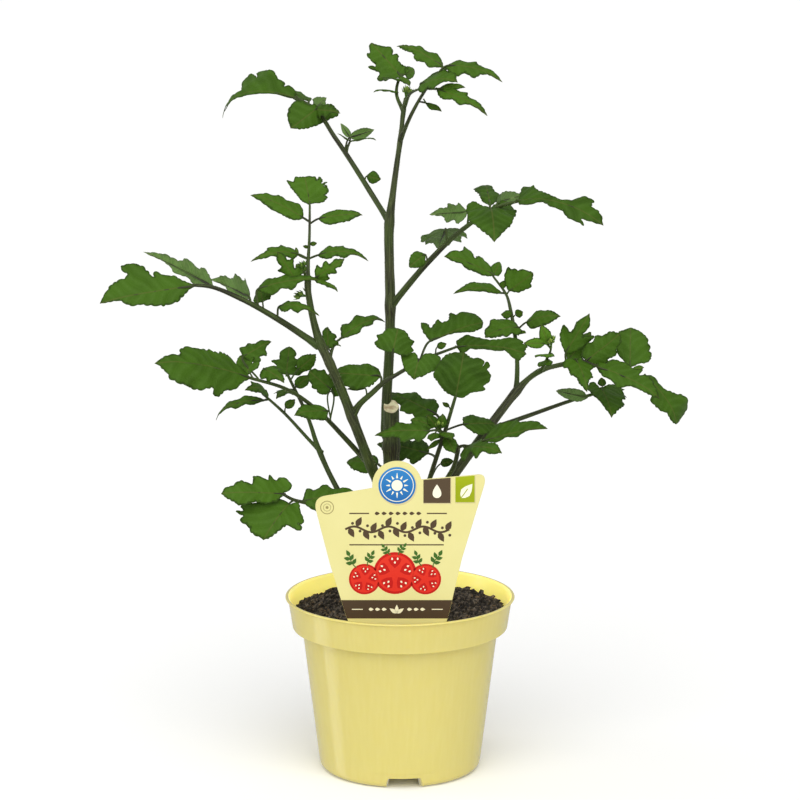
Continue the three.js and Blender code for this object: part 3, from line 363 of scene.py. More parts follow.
      [11.5, -5, 147.5], [16, -16.5, 169], [25, -23, 199.5], [30.5, -30, 220],
    ],
    "radii": [1.6, 0.9],
    "leaflets": [
      ["centre", [30.5, -29.5, 219.5], [35, -28, 244], [17, 14], "front", 2, 6],
      ["oval", [35, -21, 202.5], [55, -2.5, 199], [7, 7], "tilted", 1, 6],
      ["tiny", [27, -24, 213], [23.5, -26, 215.5], [1.25, 1.25], "front", 0, 8],
      ["toothed", [16, 8.5, 180], [-14, 30, 182.5], [8.5, 8.5], "tilted", 1, 6, [20, -16.5, 180.5]],
      ["oval", [23, -3, 176.5], [30.5, 2.5, 177], [2.5, 2.5], "front", 0, 8],
      ["toothed", [20, -15, 207], [-9.5, 21, 213.5], [8.5, 8.5], "tilted", 2, 6, [25.5, -23, 201]],
    ],
  },
  {
    "name": "leaf_front_tip",
    "parent": "front_shoot",
    "path": [
      [23, -25, 198.5], [20.5, -27.5, 200.5], [17.5, -28, 200.5],
    ],
    "radii": [0.8, 0.5],
    "leaflets": [
      ["toothed", [16.5, -27, 200], [-14.5, -20, 197], [7, 7], "tilted", 2, 8],
      ["oval", [19, -25, 202], [5.5, -18, 205], [4.5, 4.5], "tilted", 1, 10],
      ["oval", [20.5, -28, 202.5], [15, -32, 209.5], [3, 3], "front", 0, 10],
      ["oval", [22.5, -27.5, 201.5], [23.5, -31.5, 210], [3, 3], "front", 0, 10],
      ["oval", [23.5, -28, 199.5], [28.5, -38, 198], [4.5, 4.5], "up", 1, 10],
      ["oval", [25.5, -26.5, 196.5], [30, -37, 190], [4, 4], "tilted", 0, 10],
      ["tiny", [22, -27, 195], [15, -33, 191], [1.5, 1.5], "tilted", 0, 10],
      ["oval", [19.5, -29.5, 199.5], [17, -39.5, 197.5], [3.5, 3.5], "up", 0, 10],
    ],
  },
  {
    "name": "leaf_front_right",
    "parent": "front_shoot",
    "path": [
      [31.5, -20.5, 189], [35, -23.5, 191], [39.5, -27.5, 191.5], [47, -32, 196],
    ],
    "radii": [0.8, 0.5],
    "leaflets": [
      ["toothed", [46, -32, 195.5], [79, -50.5, 207], [3, 12], "tilted", 1, 5],
      ["lobed", [35.5, -24.5, 190], [54.5, -49.5, 193.5], [8.5, 8.5], "tilted", 2, 8],
    ],
  },
  {
    "name": "leaf_right_crown",
    "parent": "right_shoot",
    "path": [
      [65.5, 10.5, 215], [66.5, 22.5, 228], [63.5, 42, 256], [61.5, 47, 264],
      [53.5, 54.5, 275],
    ],
    "radii": [1.5, 0.6],
    "leaflets": [
      ["cleft", [53.5, 54.5, 275.5], [26, 47.5, 288], [13, 4], "tilted", 2, 8],
      ["oval", [54, 54.5, 275.5], [58, 62.5, 282.5], [3.5, 3.5], "front", 0, 10],
      ["oval", [58.5, 48, 266], [31, 31.5, 269], [5.5, 2.6], "tilted", 4, 10],
      ["fan", [62.5, 47.5, 267], [76, 43.5, 278], [6, 11], "front", 0, 10],
      ["tiny", [58, 49.5, 269], [61, 48, 273], [2, 2], "front", 0, 10],
      ["broad", [68, 34, 248], [48.5, 20, 245.5], [9.5, 5.5], "tilted", 3, 8],
      ["oval", [72, 34.5, 251], [90.5, 25.5, 256.5], [6, 6], "tilted", 2, 10],
      ["tiny", [64, 39.5, 254.5], [58, 35, 255.5], [2.5, 2.5], "front", 0, 10],
      ["tiny", [66, 39.5, 254.5], [70, 37, 256.5], [2.5, 2.5], "front", 0, 10],
      ["tiny", [68, 33.5, 246], [71.5, 29.5, 246], [1.5, 1.5], "tilted", 0, 10],
    ],
  },
  {
    "name": "leaf_right_tip",
    "parent": "right_shoot",
    "path": [
      [94.5, 24, 228.5], [98.5, 23, 231], [104, 21.5, 231], [110.5, 21, 228.5],
      [131, 26.5, 226],
    ],
    "radii": [1, 0.6],
    "leaflets": [
      ["trident", [94, 23, 235.5], [107, 19.5, 258], [9, 9], "front", 0, 8],
      ["toothed", [95.5, 24.5, 231], [109.5, 32, 246], [6, 6], "front", 0, 10],
      ["broad", [105.5, 21, 231], [124.5, 20, 246.5], [8.5, 7.5], "front", 0, 8],
      ["heart", [99.5, 20, 232], [105, -0.5, 218], [8, 8], "up", 2, 10],
      ["mid_right", [111.5, 20, 228], [147, 12, 212], [8, 12], "tilted", 3, 8],
      ["round", [131, 26.5, 226.5], [132, 37.5, 248], [12.5, 8], "front", -1, 8],
      ["tiny", [132.5, 25.5, 225.5], [138.5, 24, 227], [2, 2], "tilted", 0, 8],
    ],
  },
  {
    "name": "leaf_right_young",
    "parent": "right_shoot",
    "path": [
      [80, 20.5, 225], [82.5, 14.5, 232.5], [84.5, 10.5, 238], [85, 9, 241.5],
    ],
    "radii": [0.9, 0.5],
    "leaflets": [
      ["oval", [83.5, 9, 242], [79, 4.5, 254], [3.5, 3.5], "front", 0, 10],
      ["oval", [81.5, 9, 243], [69.5, 2.5, 244], [3, 3], "front", 0, 10],
      ["oval", [85.5, 10, 237], [75.5, -2, 238], [4.5, 4.5], "up", 0, 10],
      ["oval", [84, 13.5, 233], [78, 5, 231], [4, 4], "up", 0, 10],
    ],
  },
  {
    "name": "leaf_far_right",
    "parent": "right_shoot",
    "path": [
      [49.5, 1.5, 195.5], [55.5, 10, 195.5], [74, 24.5, 199], [98, 39.5, 204.5],
      [120.5, 51, 209], [143, 61, 215.5],
    ],
    "radii": [1.7, 0.6],
    "leaflets": [
      ["far_right", [143, 61, 215.5], [163, 64.5, 186], [8, 14.5], "tilted", 5, 6],
      ["low_heart", [116, 45.5, 211], [120.5, 20, 200], [7, 15], "up", 2, 8],
      ["oval", [108, 42.5, 206], [88.5, 32.5, 212], [3.5, 3.5], "away", 0, 10],
      ["tiny", [117, 48, 211.5], [116.5, 48, 216.5], [2.5, 2.5], "front", 0, 8],
    ],
  },
  {
    "name": "leaf_bottom_left",
    "parent": "main_stem",
    "path": [
      [-5, 0, 107.5], [-10, -9, 119], [-18, -18.5, 133.5], [-26.5, -25.5, 146],
      [-35.5, -30.5, 154.5], [-44, -35.5, 160], [-53.5, -39, 162.5], [-59, -43, 165],
      [-64, -45.5, 168.5],
    ],
    "radii": [1.7, 0.8],
    "leaflets": [
      ["bottom_upper", [-63.5, -45.5, 168.5], [-96, -60, 172.5], [11, 6.5], "steep", 2, 6],
      ["bottom_lower", [-60.5, -44, 163], [-74, -59, 146.5], [21.5, 14], "steep", 4, 5],
      ["toothed", [-53.5, -38.5, 163], [-21.5, -25, 164.5], [8.5, 8.5], "tilted", 2, 8],
    ],
  },
  {
    "name": "leaf_hidden_left",
    "parent": "main_stem",
    "path": [
      [-5, 0, 167.5], [-9, 6, 171.5], [-12.5, 10, 173.5],
    ],
    "radii": [0.9, 0.6],
    "leaflets": [
      ["oval", [-12.5, 10, 173.5], [-31, 22, 173], [6.5, 6.5], "tilted", 1, 8],
    ],
  },
]


# How young each leaf is, from 0 for a full dark green one to 1 for one that has just opened.
USUAL_AGE = 0.22
AGES = {
    "leaf_centre": 0.03,
    "leaf_upper_right": 0.12,
    "leaf_far_right": 0.15,
    "leaf_broad_left": 0.32,
    "leaf_long_left": 0.3,
    "leaf_bottom_left": 0.4,
    "leaf_top_left": 0.45,
    "leaf_top_right": 0.3,
    "leaf_top_front": 0.4,
    "leaf_left_crown": 0.45,
    "leaf_left_tip": 0.5,
    "leaf_right_crown": 0.45,
    "leaf_right_tip": 0.35,
    "leaf_right_young": 1,
}

# Outlines of leaflets: the points of the right and of the left side, from the base to the tip. Each point is
# in hundredths of the leaflet's length and of that side's half width.
OUTLINES = {
    "tiny": (
        [(25, 95), (70, 75)],
        [(35, 100), (78, 60)],
    ),
    "oval": (
        [(14, 75), (42, 100), (76, 66)],
        [(20, 90), (50, 96), (80, 52)],
    ),
    "toothed": (
        [(12, 75), (32, 100), (36, 76), (60, 84), (64, 54)],
        [(20, 95), (25, 76), (48, 94), (52, 66), (78, 48)],
    ),
    "lobed": (
        [(8, 75), (27, 100), (33, 48), (58, 85), (62, 40), (82, 42)],
        [(10, 75), (22, 98), (27, 58), (50, 92), (54, 50), (76, 50)],
    ),
    "cleft": (
        [(5, 35), (16, 58), (36, 62), (42, 42), (52, 85), (62, 100), (70, 52), (86, 42)],
        [(6, 50), (24, 95), (40, 100), (62, 90), (67, 68), (86, 50)],
    ),
    "heart": (
        [(-8, 45), (0, 88), (20, 100), (26, 84), (50, 82), (56, 58), (80, 42)],
        [(-7, 50), (5, 96), (32, 98), (38, 76), (62, 70), (68, 44)],
    ),
    "trident": (
        [(4, 30), (24, 70), (62, 100), (50, 36), (76, 40)],
        [(6, 30), (20, 75), (50, 100), (44, 40), (70, 42)],
    ),
    "long_left": (
        [(4, 8), (10, 17), (20, 37), (29, 44), (38, 55), (40, 45), (46, 66), (51, 86), (57, 97), (65, 100),
         (71, 88), (66, 62), (69, 55), (81, 48), (91, 28)],
        [(5, 18), (12, 49), (23, 93), (41, 100), (57, 75), (71, 62), (79, 20), (90, 10)],
    ),
    "broad_left": (
        [(6, 34), (14, 58), (18, 80), (21, 90), (22, 80), (25, 93), (26, 82), (29, 95), (31, 84), (34, 96),
         (36, 86), (40, 102), (43, 92), (47, 94), (49, 86), (56, 83), (69, 80), (73, 63), (76, 34), (84, 33),
         (92, 22)],
        [(10, 27), (17, 52), (24, 67), (30, 71), (42, 99), (46, 96), (44, 81), (59, 85), (77, 79),
         (87, 59), (91, 33), (96, 12)],
    ),
    "arm": (
        [(10, 53), (20, 53), (31, 29), (47, 51), (62, 64), (69, 100), (79, 93), (85, 95), (81, 62),
         (90, 35)],
        [(-5, 60), (-8, 98), (2, 100), (13, 67), (39, 25), (46, 16), (61, 24), (69, 64), (79, 76),
         (81, 46), (90, 39)],
    ),
    "smooth_heart": (
        [(-7, 35), (-22, 73), (-17, 97), (5, 102), (35, 106), (57, 100), (70, 72), (90, 25)],
        [(-15, 31), (-25, 56), (-23, 80), (-5, 100), (20, 98), (43, 86), (56, 78), (70, 61), (89, 27)],
    ),
    "round": (
        [(11, 40), (20, 90), (30, 96), (43, 100), (48, 90), (60, 94), (63, 84), (72, 82), (86, 60)],
        [(13, 37), (38, 92), (56, 97), (78, 85), (88, 82), (93, 50)],
    ),
    "low_heart": (
        [(-12, 23), (-24, 55), (-18, 85), (22, 97), (59, 57), (84, 29)],
        [(-16, 40), (-21, 75), (-10, 100), (5, 85), (25, 90), (30, 80), (44, 75), (50, 62), (63, 63),
         (84, 29)],
    ),
    "far_right": (
        [(15, 40), (30, 75), (34, 100), (45, 100), (59, 85), (68, 50), (81, 48), (91, 30)],
        [(7, 21), (23, 19), (38, 25), (56, 58), (75, 97), (88, 98), (95, 98), (97, 70), (98, 35)],
    ),
    "mid_right": (
        [(14, 55), (31, 73), (42, 98), (54, 55), (71, 40), (86, 28)],
        [(-2, 33), (5, 40), (8, 27), (15, 72), (32, 85), (46, 70), (60, 100), (60, 50), (72, 68), (87, 38)],
    ),
    "centre": (
        [(0, 20), (14, 44), (29, 89), (34, 82), (42, 94), (61, 100), (70, 84), (83, 90), (86, 80),
         (76, 68), (87, 71), (93, 52), (90, 30)],
        [(6, 36), (16, 63), (28, 84), (36, 100), (47, 100), (65, 89), (84, 70), (94, 41)],
    ),
    "bottom_upper": (
        [(-10, 20), (-15, 45), (-9, 75), (4, 88), (9, 66), (19, 100), (24, 70), (35, 82), (47, 88),
         (50, 48), (74, 56), (80, 40), (92, 27)],
        [(9, 46), (28, 86), (49, 80), (58, 90), (77, 100), (84, 70), (93, 42)],
    ),
    "bottom_lower": (
        [(4, 29), (34, 58), (65, 95), (69, 86), (78, 100), (82, 76), (88, 79), (92, 53), (99, 33),
         (99, 11)],
        [(-12, 26), (1, 51), (26, 90), (33, 80), (35, 100), (41, 100), (48, 71), (51, 47), (70, 33),
         (86, 21)],
    ),
    "crown": (
        [(2, 25), (8, 58), (32, 85), (39, 77), (52, 92), (67, 92), (64, 77), (80, 100), (72, 70), (89, 78),
         (97, 70), (85, 53), (96, 50), (98, 25)],
        [(19, 36), (55, 73), (83, 98), (112, 120), (100, 80), (110, 62), (103, 35)],
    ),
    "broad": (
        [(-2, 40), (10, 82), (34, 100), (40, 88), (64, 95), (70, 72), (90, 46)],
        [(-1, 40), (13, 86), (30, 98), (36, 85), (56, 98), (62, 78), (86, 56)],
    ),
    "upper_left": (
        [(2, 20), (10, 34), (12, 28), (17, 49), (21, 53), (32, 87), (37, 88), (46, 100), (52, 98),
         (47, 65), (59, 88), (66, 58), (60, 18), (78, 13), (92, 6)],
        [(20, 50), (45, 100), (70, 70), (90, 40)],
    ),
    "upper_heart": (
        [(5, 25), (22, 45), (25, 76), (41, 100), (72, 88), (91, 48)],
        [(-20, 20), (-36, 30), (-39, 73), (-38, 105), (-10, 97), (41, 76), (81, 36)],
    ),
    "club": (
        [(19, 10), (33, 12), (52, 49), (74, 98), (93, 62)],
        [(0, 30), (1, 62), (8, 100), (14, 90), (15, 62), (34, 81), (36, 60), (47, 62), (62, 97), (65, 77),
         (77, 76), (93, 63), (100, 32)],
    ),
    "strap": (
        [(14, 96), (20, 52), (36, 48), (64, 52), (72, 36), (81, 80), (90, 104)],
        [(-4, 51), (2, 82), (22, 82), (42, 51), (64, 71), (78, 93), (87, 98), (91, 69), (97, 56), (96, 20)],
    ),
    "blade": (
        [(4, 60), (11, 100), (32, 92), (38, 80), (55, 80), (60, 64), (74, 54), (86, 28)],
        [(8, 60), (30, 95), (55, 100), (74, 72), (88, 40)],
    ),
    "wings": (
        [(-17, 14), (-20, 51), (-35, 100), (-7, 81), (33, 62), (66, 42), (90, 12)],
        [(-26, 18), (-37, 46), (-33, 89), (-7, 100), (33, 84), (50, 63), (73, 40), (84, 18)],
    ),
    "fan": (
        [(0, 5), (20, 60), (45, 85), (63, 100), (72, 66), (85, 44), (95, 18)],
        [(0, 10), (5, 36), (20, 78), (44, 100), (50, 80), (62, 72), (66, 56), (78, 52), (90, 26)],
    ),
    "thumb": (
        [(8, 40), (20, 78), (33, 100), (42, 95), (55, 62), (70, 50), (85, 44), (95, 24)],
        [(10, 45), (30, 64), (50, 74), (62, 92), (70, 100), (78, 92), (80, 60), (90, 42)],
    ),
    "top_left": (
        [(0, 68), (36, 68), (49, 100), (52, 71), (67, 98), (77, 62), (92, 15)],
        [(20, 50), (44, 100), (45, 80), (73, 96), (63, 64), (80, 62), (92, 58), (88, 40), (97, 22)],
    ),
}

# The way that a leaflet's upper face looks.
FACINGS = {
    "up": (0, 0, 1),
    "front": (0, -1, 0),
    "away": (0, 1, 0),
    "steep": (0, -0.9, 0.44),
    "tilted": (0, -0.7, 0.7),
}


# ---------------------------------------------------------------------------
# Curves and meshes
# ---------------------------------------------------------------------------


def from_mm(point):
    """A point of a table in millimetres, in metres."""
    return Vector(point) * MM


def blend(low, high, share):
    """The value at a share of the way from low to high."""
    return low + (high - low) * share


def smooth_route(knots, step):
    """Places about step apart on the smooth curve through the knots, as (point, knot number) pairs."""
    spans = [(b - a).length for a, b in zip(knots, knots[1:])]
    chords = [(b - a) / span for a, b, span in zip(knots, knots[1:], spans)]
    slopes = [chords[0]]
    for before, after, near, far in zip(chords, chords[1:], spans, spans[1:]):
        slopes.append((before * far + after * near) / (near + far))
    slopes.append(chords[-1])
    places = []
    for i, span in enumerate(spans):
        start, end = knots[i], knots[i + 1]
        leaving, arriving = slopes[i] * span, slopes[i + 1] * span
        count = max(1, round(span / step))
        for k in range(count):
            t = k / count
            place = start * (2 * t**3 - 3 * t**2 + 1) + end * (3 * t**2 - 2 * t**3)
            place = place + leaving * (t**3 - 2 * t**2 + t) + arriving * (t**3 - t**2)
            places.append((place, i + t))
    places.append((knots[-1], len(spans)))
    return places


class Shell:
    """The points, faces and marks of a piece while it is being made."""

    def __init__(self):
        self.points = []
        self.faces = []
        self.finishes = []
        self.marks = []

    def add(self, points, faces, finish=0, mark=(0, 0, 0)):
        """Adds faces over new points. Finish and mark are one for all, or a list with one for each."""
        start = len(self.points)
        self.points.extend(tuple(p) for p in points)
        self.faces.extend([start + i for i in face] for face in faces)
        self.finishes.extend(finish if isinstance(finish, list) else [finish] * len(faces))
        self.marks.extend(mark if isinstance(mark, list) else [mark] * len(points))

    def piece(self, name, materials, slot, sharp_above, stands_for=()):
        """Makes the object, which rides on the plant's one body and stands for nodes of the solid model.

        Edges that turn by more than sharp_above, in degrees, stay sharp.
        """
        mesh = bpy.data.meshes.new(name)
        mesh.from_pydata(self.points, [], self.faces)
        for material in materials:
            mesh.materials.append(material)
        mesh.polygons.foreach_set("material_index", self.finishes)
        mesh.shade_smooth()
        mesh.set_sharp_from_angle(angle=math.radians(sharp_above))
        place = mesh.attributes.new("place", "FLOAT_VECTOR", "POINT")
        place.data.foreach_set("vector", np.array(self.marks, np.float32).ravel())
        mesh.validate()
        piece = bpy.data.objects.new(name, mesh)
        bpy.context.scene.collection.objects.link(piece)
        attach(piece, "root")
        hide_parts(*stands_for)


def tube(shell, centres, radii, sides, finish=0, ridges=0, ridge_depth=0.0, dome=0.5):
    """Adds a closed tube with one radius for each centre. Its marks are places round and along it, in mm.

    Returns its rings as (centre, along, side, other, radius).
    """
    last = len(centres) - 1
    axis = centres[min(1, last)] - centres[0]
    side = Vector((0, 1, 0)) if abs(axis.normalized().x) > 0.7 else Vector((1, 0, 0))
    rings, points, marks = [], [], []
    walked = 0.0
    for i, (centre, radius) in enumerate(zip(centres, radii)):
        along = (centres[min(last, i + 1)] - centres[max(0, i - 1)]).normalized()
        side = (side - along * side.dot(along)).normalized()
        other = along.cross(side)
        walked += (centre - centres[max(0, i - 1)]).length
        rings.append((centre, along, side, other, radius))
        for corner in range(sides):
            turn = corner / sides * math.tau
            reach = radius * (1 + ridge_depth * math.cos(ridges * turn))
            points.append(centre + (side * math.cos(turn) + other * math.sin(turn)) * reach)
            marks.append((math.cos(turn) * radius / MM, math.sin(turn) * radius / MM, walked / MM))
    faces = []
    for ring in range(last):
        for corner in range(sides):
            a = ring * sides + corner
            b = ring * sides + (corner + 1) % sides
            faces.append((a, b, b + sides, a + sides))
    for ring, way in ((0, -1), (last, 1)):
        centre, along, _, _, radius = rings[ring]
        points.append(centre + along * (radius * dome * way))
        marks.append((0, 0, marks[ring * sides][2]))
        middle = len(points) - 1
        for corner in range(sides):
            a = ring * sides + corner
            b = ring * sides + (corner + 1) % sides
            faces.append((b, a, middle) if way < 0 else (a, b, middle))
    shell.add(points, faces, finish, marks)
    return rings


def turned(shell, profile, angles, shape, inside_from=math.inf):
    """Adds the closed body that a profile of (radius, height) pairs makes round Z, from the axis to the axis.

    The shape says where a pair is at an angle. The rows from inside_from on have the second finish.
    """
    rims = profile[1:-1]
    points = [Vector((0, 0, profile[0][1])), Vector((0, 0, profile[-1][1]))]
    for r, z in rims:
        for angle in angles:
            reach, height = shape(r, z, angle)
            points.append(Vector((math.cos(angle) * reach, math.sin(angle) * reach, height)))
    count = len(angles)
    faces, finishes = [], []
    for corner in range(count):
        following = (corner + 1) % count
        faces.append((0, 2 + following, 2 + corner))
        top = 2 + (len(rims) - 1) * count
        faces.append((1, top + corner, top + following))
        finishes += [0, int(len(rims) > inside_from)]
        for row in range(len(rims) - 1):
            a = 2 + row * count
            faces.append((a + corner, a + following, a + count + following, a + count + corner))
            finishes.append(int(row >= inside_from))
    shell.add(points, faces, finishes)


def rounded(corners, steps=5):
    """A profile whose corners, given as (radius, height, size of the rounding), are rounded off."""
    points = []
    for i, (r, z, size) in enumerate(corners):
        corner = Vector((r, z))
        if size == 0 or i in (0, len(corners) - 1):
            points.append((r, z))
            continue
        before = Vector(corners[i - 1][:2]) - corner
        after = Vector(corners[i + 1][:2]) - corner
        enter = corner + before.normalized() * min(size, before.length * 0.45)
        leave = corner + after.normalized() * min(size, after.length * 0.45)
        for k in range(steps + 1):
            t = k / steps
            point = enter * (1 - t) ** 2 + corner * (2 * t * (1 - t)) + leave * t**2
            points.append((point.x, point.y))
    return points


# ---------------------------------------------------------------------------
# Materials
# ---------------------------------------------------------------------------

FACTOR, MIX_A, MIX_B = 0, 6, 7  # the sockets of a Mix node of colours


def new_material(name):
    """A material with its node tree and its Principled shader."""
    material = bpy.data.materials.new(name)
    material.use_nodes = True
    return material, material.node_tree, material.node_tree.nodes["Principled BSDF"]


def wire(tree, node, sockets):
    """Gives each socket named here its value, or its link from a socket or from a node's first output."""
    for name, value in sockets.items():
        socket = node.inputs[name]
        if isinstance(value, bpy.types.Node):
            value = next(output for output in value.outputs if output.enabled)
        if isinstance(value, bpy.types.NodeSocket):
            tree.links.new(value, socket)
        else:
            socket.default_value = (*value, 1) if socket.type == "RGBA" else value


def add_node(tree, kind, sockets=None, **settings):
    """Adds a node with its settings, and wires its sockets."""
    node = tree.nodes.new("ShaderNode" + kind)
    for name, value in settings.items():
        setattr(node, name, value)
    wire(tree, node, sockets or {})
    return node


def per_metre(size_mm):
    """The scale of a pattern whose features are this many millimetres apart."""
    return 1 / (size_mm * MM)


def moulded_polypropylene(name, colour, streak, translucency, painted_glow=0):
    """Injection-moulded polypropylene. It has a waxy satin skin, with faint drawn streaks from the mould.

    Its emission is painted light: a glow of its own colour, as strong as given, that stands in for the
    daylight that comes through the wall from behind.
    """
    material, tree, shader = new_material(name)
    place = add_node(tree, "TexCoord").outputs["Object"]
    upright = add_node(tree, "Mapping", {"Vector": place, "Scale": (1, 1, 0.02)})
    # The streaks are about 0.3 mm apart on the real pot, and are drawn at 2.2 mm so that they show.
    streaks = add_node(tree, "TexNoise", {"Vector": upright, "Scale": per_metre(2.2), "Detail": 3})
    pale = add_node(tree, "MapRange", {"Value": streaks, "From Min": 0.35, "From Max": 0.7, "To Max": 0.3})
    tint = add_node(tree, "Mix", {FACTOR: pale, MIX_A: colour, MIX_B: streak}, data_type="RGBA")
    grain = add_node(tree, "TexNoise", {"Vector": place, "Scale": per_metre(0.8), "Detail": 2})
    height = add_node(tree, "Math", {0: streaks, 1: grain}, operation="ADD")
    bump = add_node(tree, "Bump", {"Height": height, "Strength": 0.06, "Distance": 0.1 * MM})
    gloss = add_node(tree, "MapRange", {"Value": grain, "To Min": 0.14, "To Max": 0.22})
    # The emission is painted light, a glow from the wall itself; it is off unless a glow is given.
    wire(tree, shader, {
        "Base Color": tint, "Normal": bump, "Roughness": gloss, "IOR": 1.49,
        "Subsurface Weight": translucency, "Subsurface Radius": (1.0, 0.85, 0.35), "Subsurface Scale": 3 * MM,
        "Emission Color": colour, "Emission Strength": painted_glow,
    })
    return material


def pressed_peat(dark, light):
    """Milled peat compost. It is damp, dull and near black, with brown crumbs and a few tan flecks."""
    material, tree, shader = new_material("peat_compost")
    place = add_node(tree, "TexCoord").outputs["Object"]
    crumbs = add_node(tree, "TexNoise", {
        "Vector": place, "Scale": per_metre(2.5), "Detail": 6, "Roughness": 0.7,
    })
    share = add_node(tree, "MapRange", {"Value": crumbs, "From Min": 0.48, "From Max": 0.72})
    base = add_node(tree, "Mix", {FACTOR: share, MIX_A: dark, MIX_B: light}, data_type="RGBA")
    flecks = add_node(tree, "TexVoronoi", {"Vector": place, "Scale": per_metre(1.3)})
    rare = add_node(tree, "SeparateColor", {"Color": flecks.outputs["Color"]})
    tan = add_node(tree, "MapRange", {
        "Value": rare.outputs["Red"], "From Min": 0.93, "From Max": 0.99, "To Max": 0.55,
    })
    colour = add_node(tree, "Mix", {FACTOR: tan, MIX_A: base, MIX_B: linear("#8d7352")}, data_type="RGBA")
    fine = add_node(tree, "TexNoise", {"Vector": place, "Scale": per_metre(0.7), "Detail": 5})
    bump = add_node(tree, "Bump", {"Height": fine, "Strength": 0.7, "Distance": 0.5 * MM})
    wire(tree, shader, {
        "Base Color": colour, "Normal": bump, "Roughness": 0.85, "Specular IOR Level": 0.35,
    })
    return material


def dry_fibre():
    """Dry plant fibre. It is straw and root hair left in the compost, paler than the peat and dull."""
    material, tree, shader = new_material("dry_plant_fibre")
    place = add_node(tree, "TexCoord").outputs["Object"]
    shades = add_node(tree, "TexNoise", {"Vector": place, "Scale": per_metre(9), "Detail": 3})
    share = add_node(tree, "MapRange", {"Value": shades, "From Min": 0.35, "From Max": 0.7})
    colour = add_node(tree, "Mix", {
        FACTOR: share, MIX_A: linear("#3b2b1c"), MIX_B: linear("#a5865a"),
    }, data_type="RGBA")
    wire(tree, shader, {"Base Color": colour, "Roughness": 0.75})
    return material


def calendered_card(colour):
    """Calendered polystyrene sheet, die-cut. It is smooth and bright, with a soft even gloss."""
    material, tree, shader = new_material("calendered_polystyrene")
    place = add_node(tree, "TexCoord").outputs["Object"]
    cloud = add_node(tree, "TexNoise", {"Vector": place, "Scale": per_metre(22), "Detail": 2})
    tint = add_node(tree, "Mix", {FACTOR: cloud, MIX_A: colour, MIX_B: linear("#dcd492")}, data_type="RGBA")
    skin = add_node(tree, "TexNoise", {"Vector": place, "Scale": per_metre(1.2), "Detail": 2})
    bump = add_node(tree, "Bump", {"Height": skin, "Strength": 0.05, "Distance": 0.05 * MM})
    wire(tree, shader, {"Base Color": tint, "Normal": bump, "Roughness": 0.32, "IOR": 1.58})
    return material


def printed_ink(name, low, high, low_height, high_height):
    """Offset ink on the card. Its flat colour shades a little from the foot to the top of the print."""
    material, tree, shader = new_material(name)
    place = add_node(tree, "TexCoord").outputs["Object"]
    split = add_node(tree, "SeparateXYZ", {"Vector": place})
    rise = add_node(tree, "MapRange", {
        "Value": split.outputs["Z"], "From Min": low_height, "From Max": high_height,
    })
    # The print's dots are about 0.15 mm apart, and are drawn at 0.9 mm so that the ink isn't dead flat.
    dots = add_node(tree, "TexNoise", {"Vector": place, "Scale": per_metre(0.9), "Detail": 2})
    shift = add_node(tree, "MapRange", {"Value": dots, "To Min": -0.12, "To Max": 0.12})
    share = add_node(tree, "Math", {0: rise, 1: shift}, operation="ADD", use_clamp=True)
    colour = add_node(tree, "Mix", {FACTOR: share, MIX_A: low, MIX_B: high}, data_type="RGBA")
    wire(tree, shader, {"Base Color": colour, "Roughness": 0.5, "Specular IOR Level": 0.15})
    return material


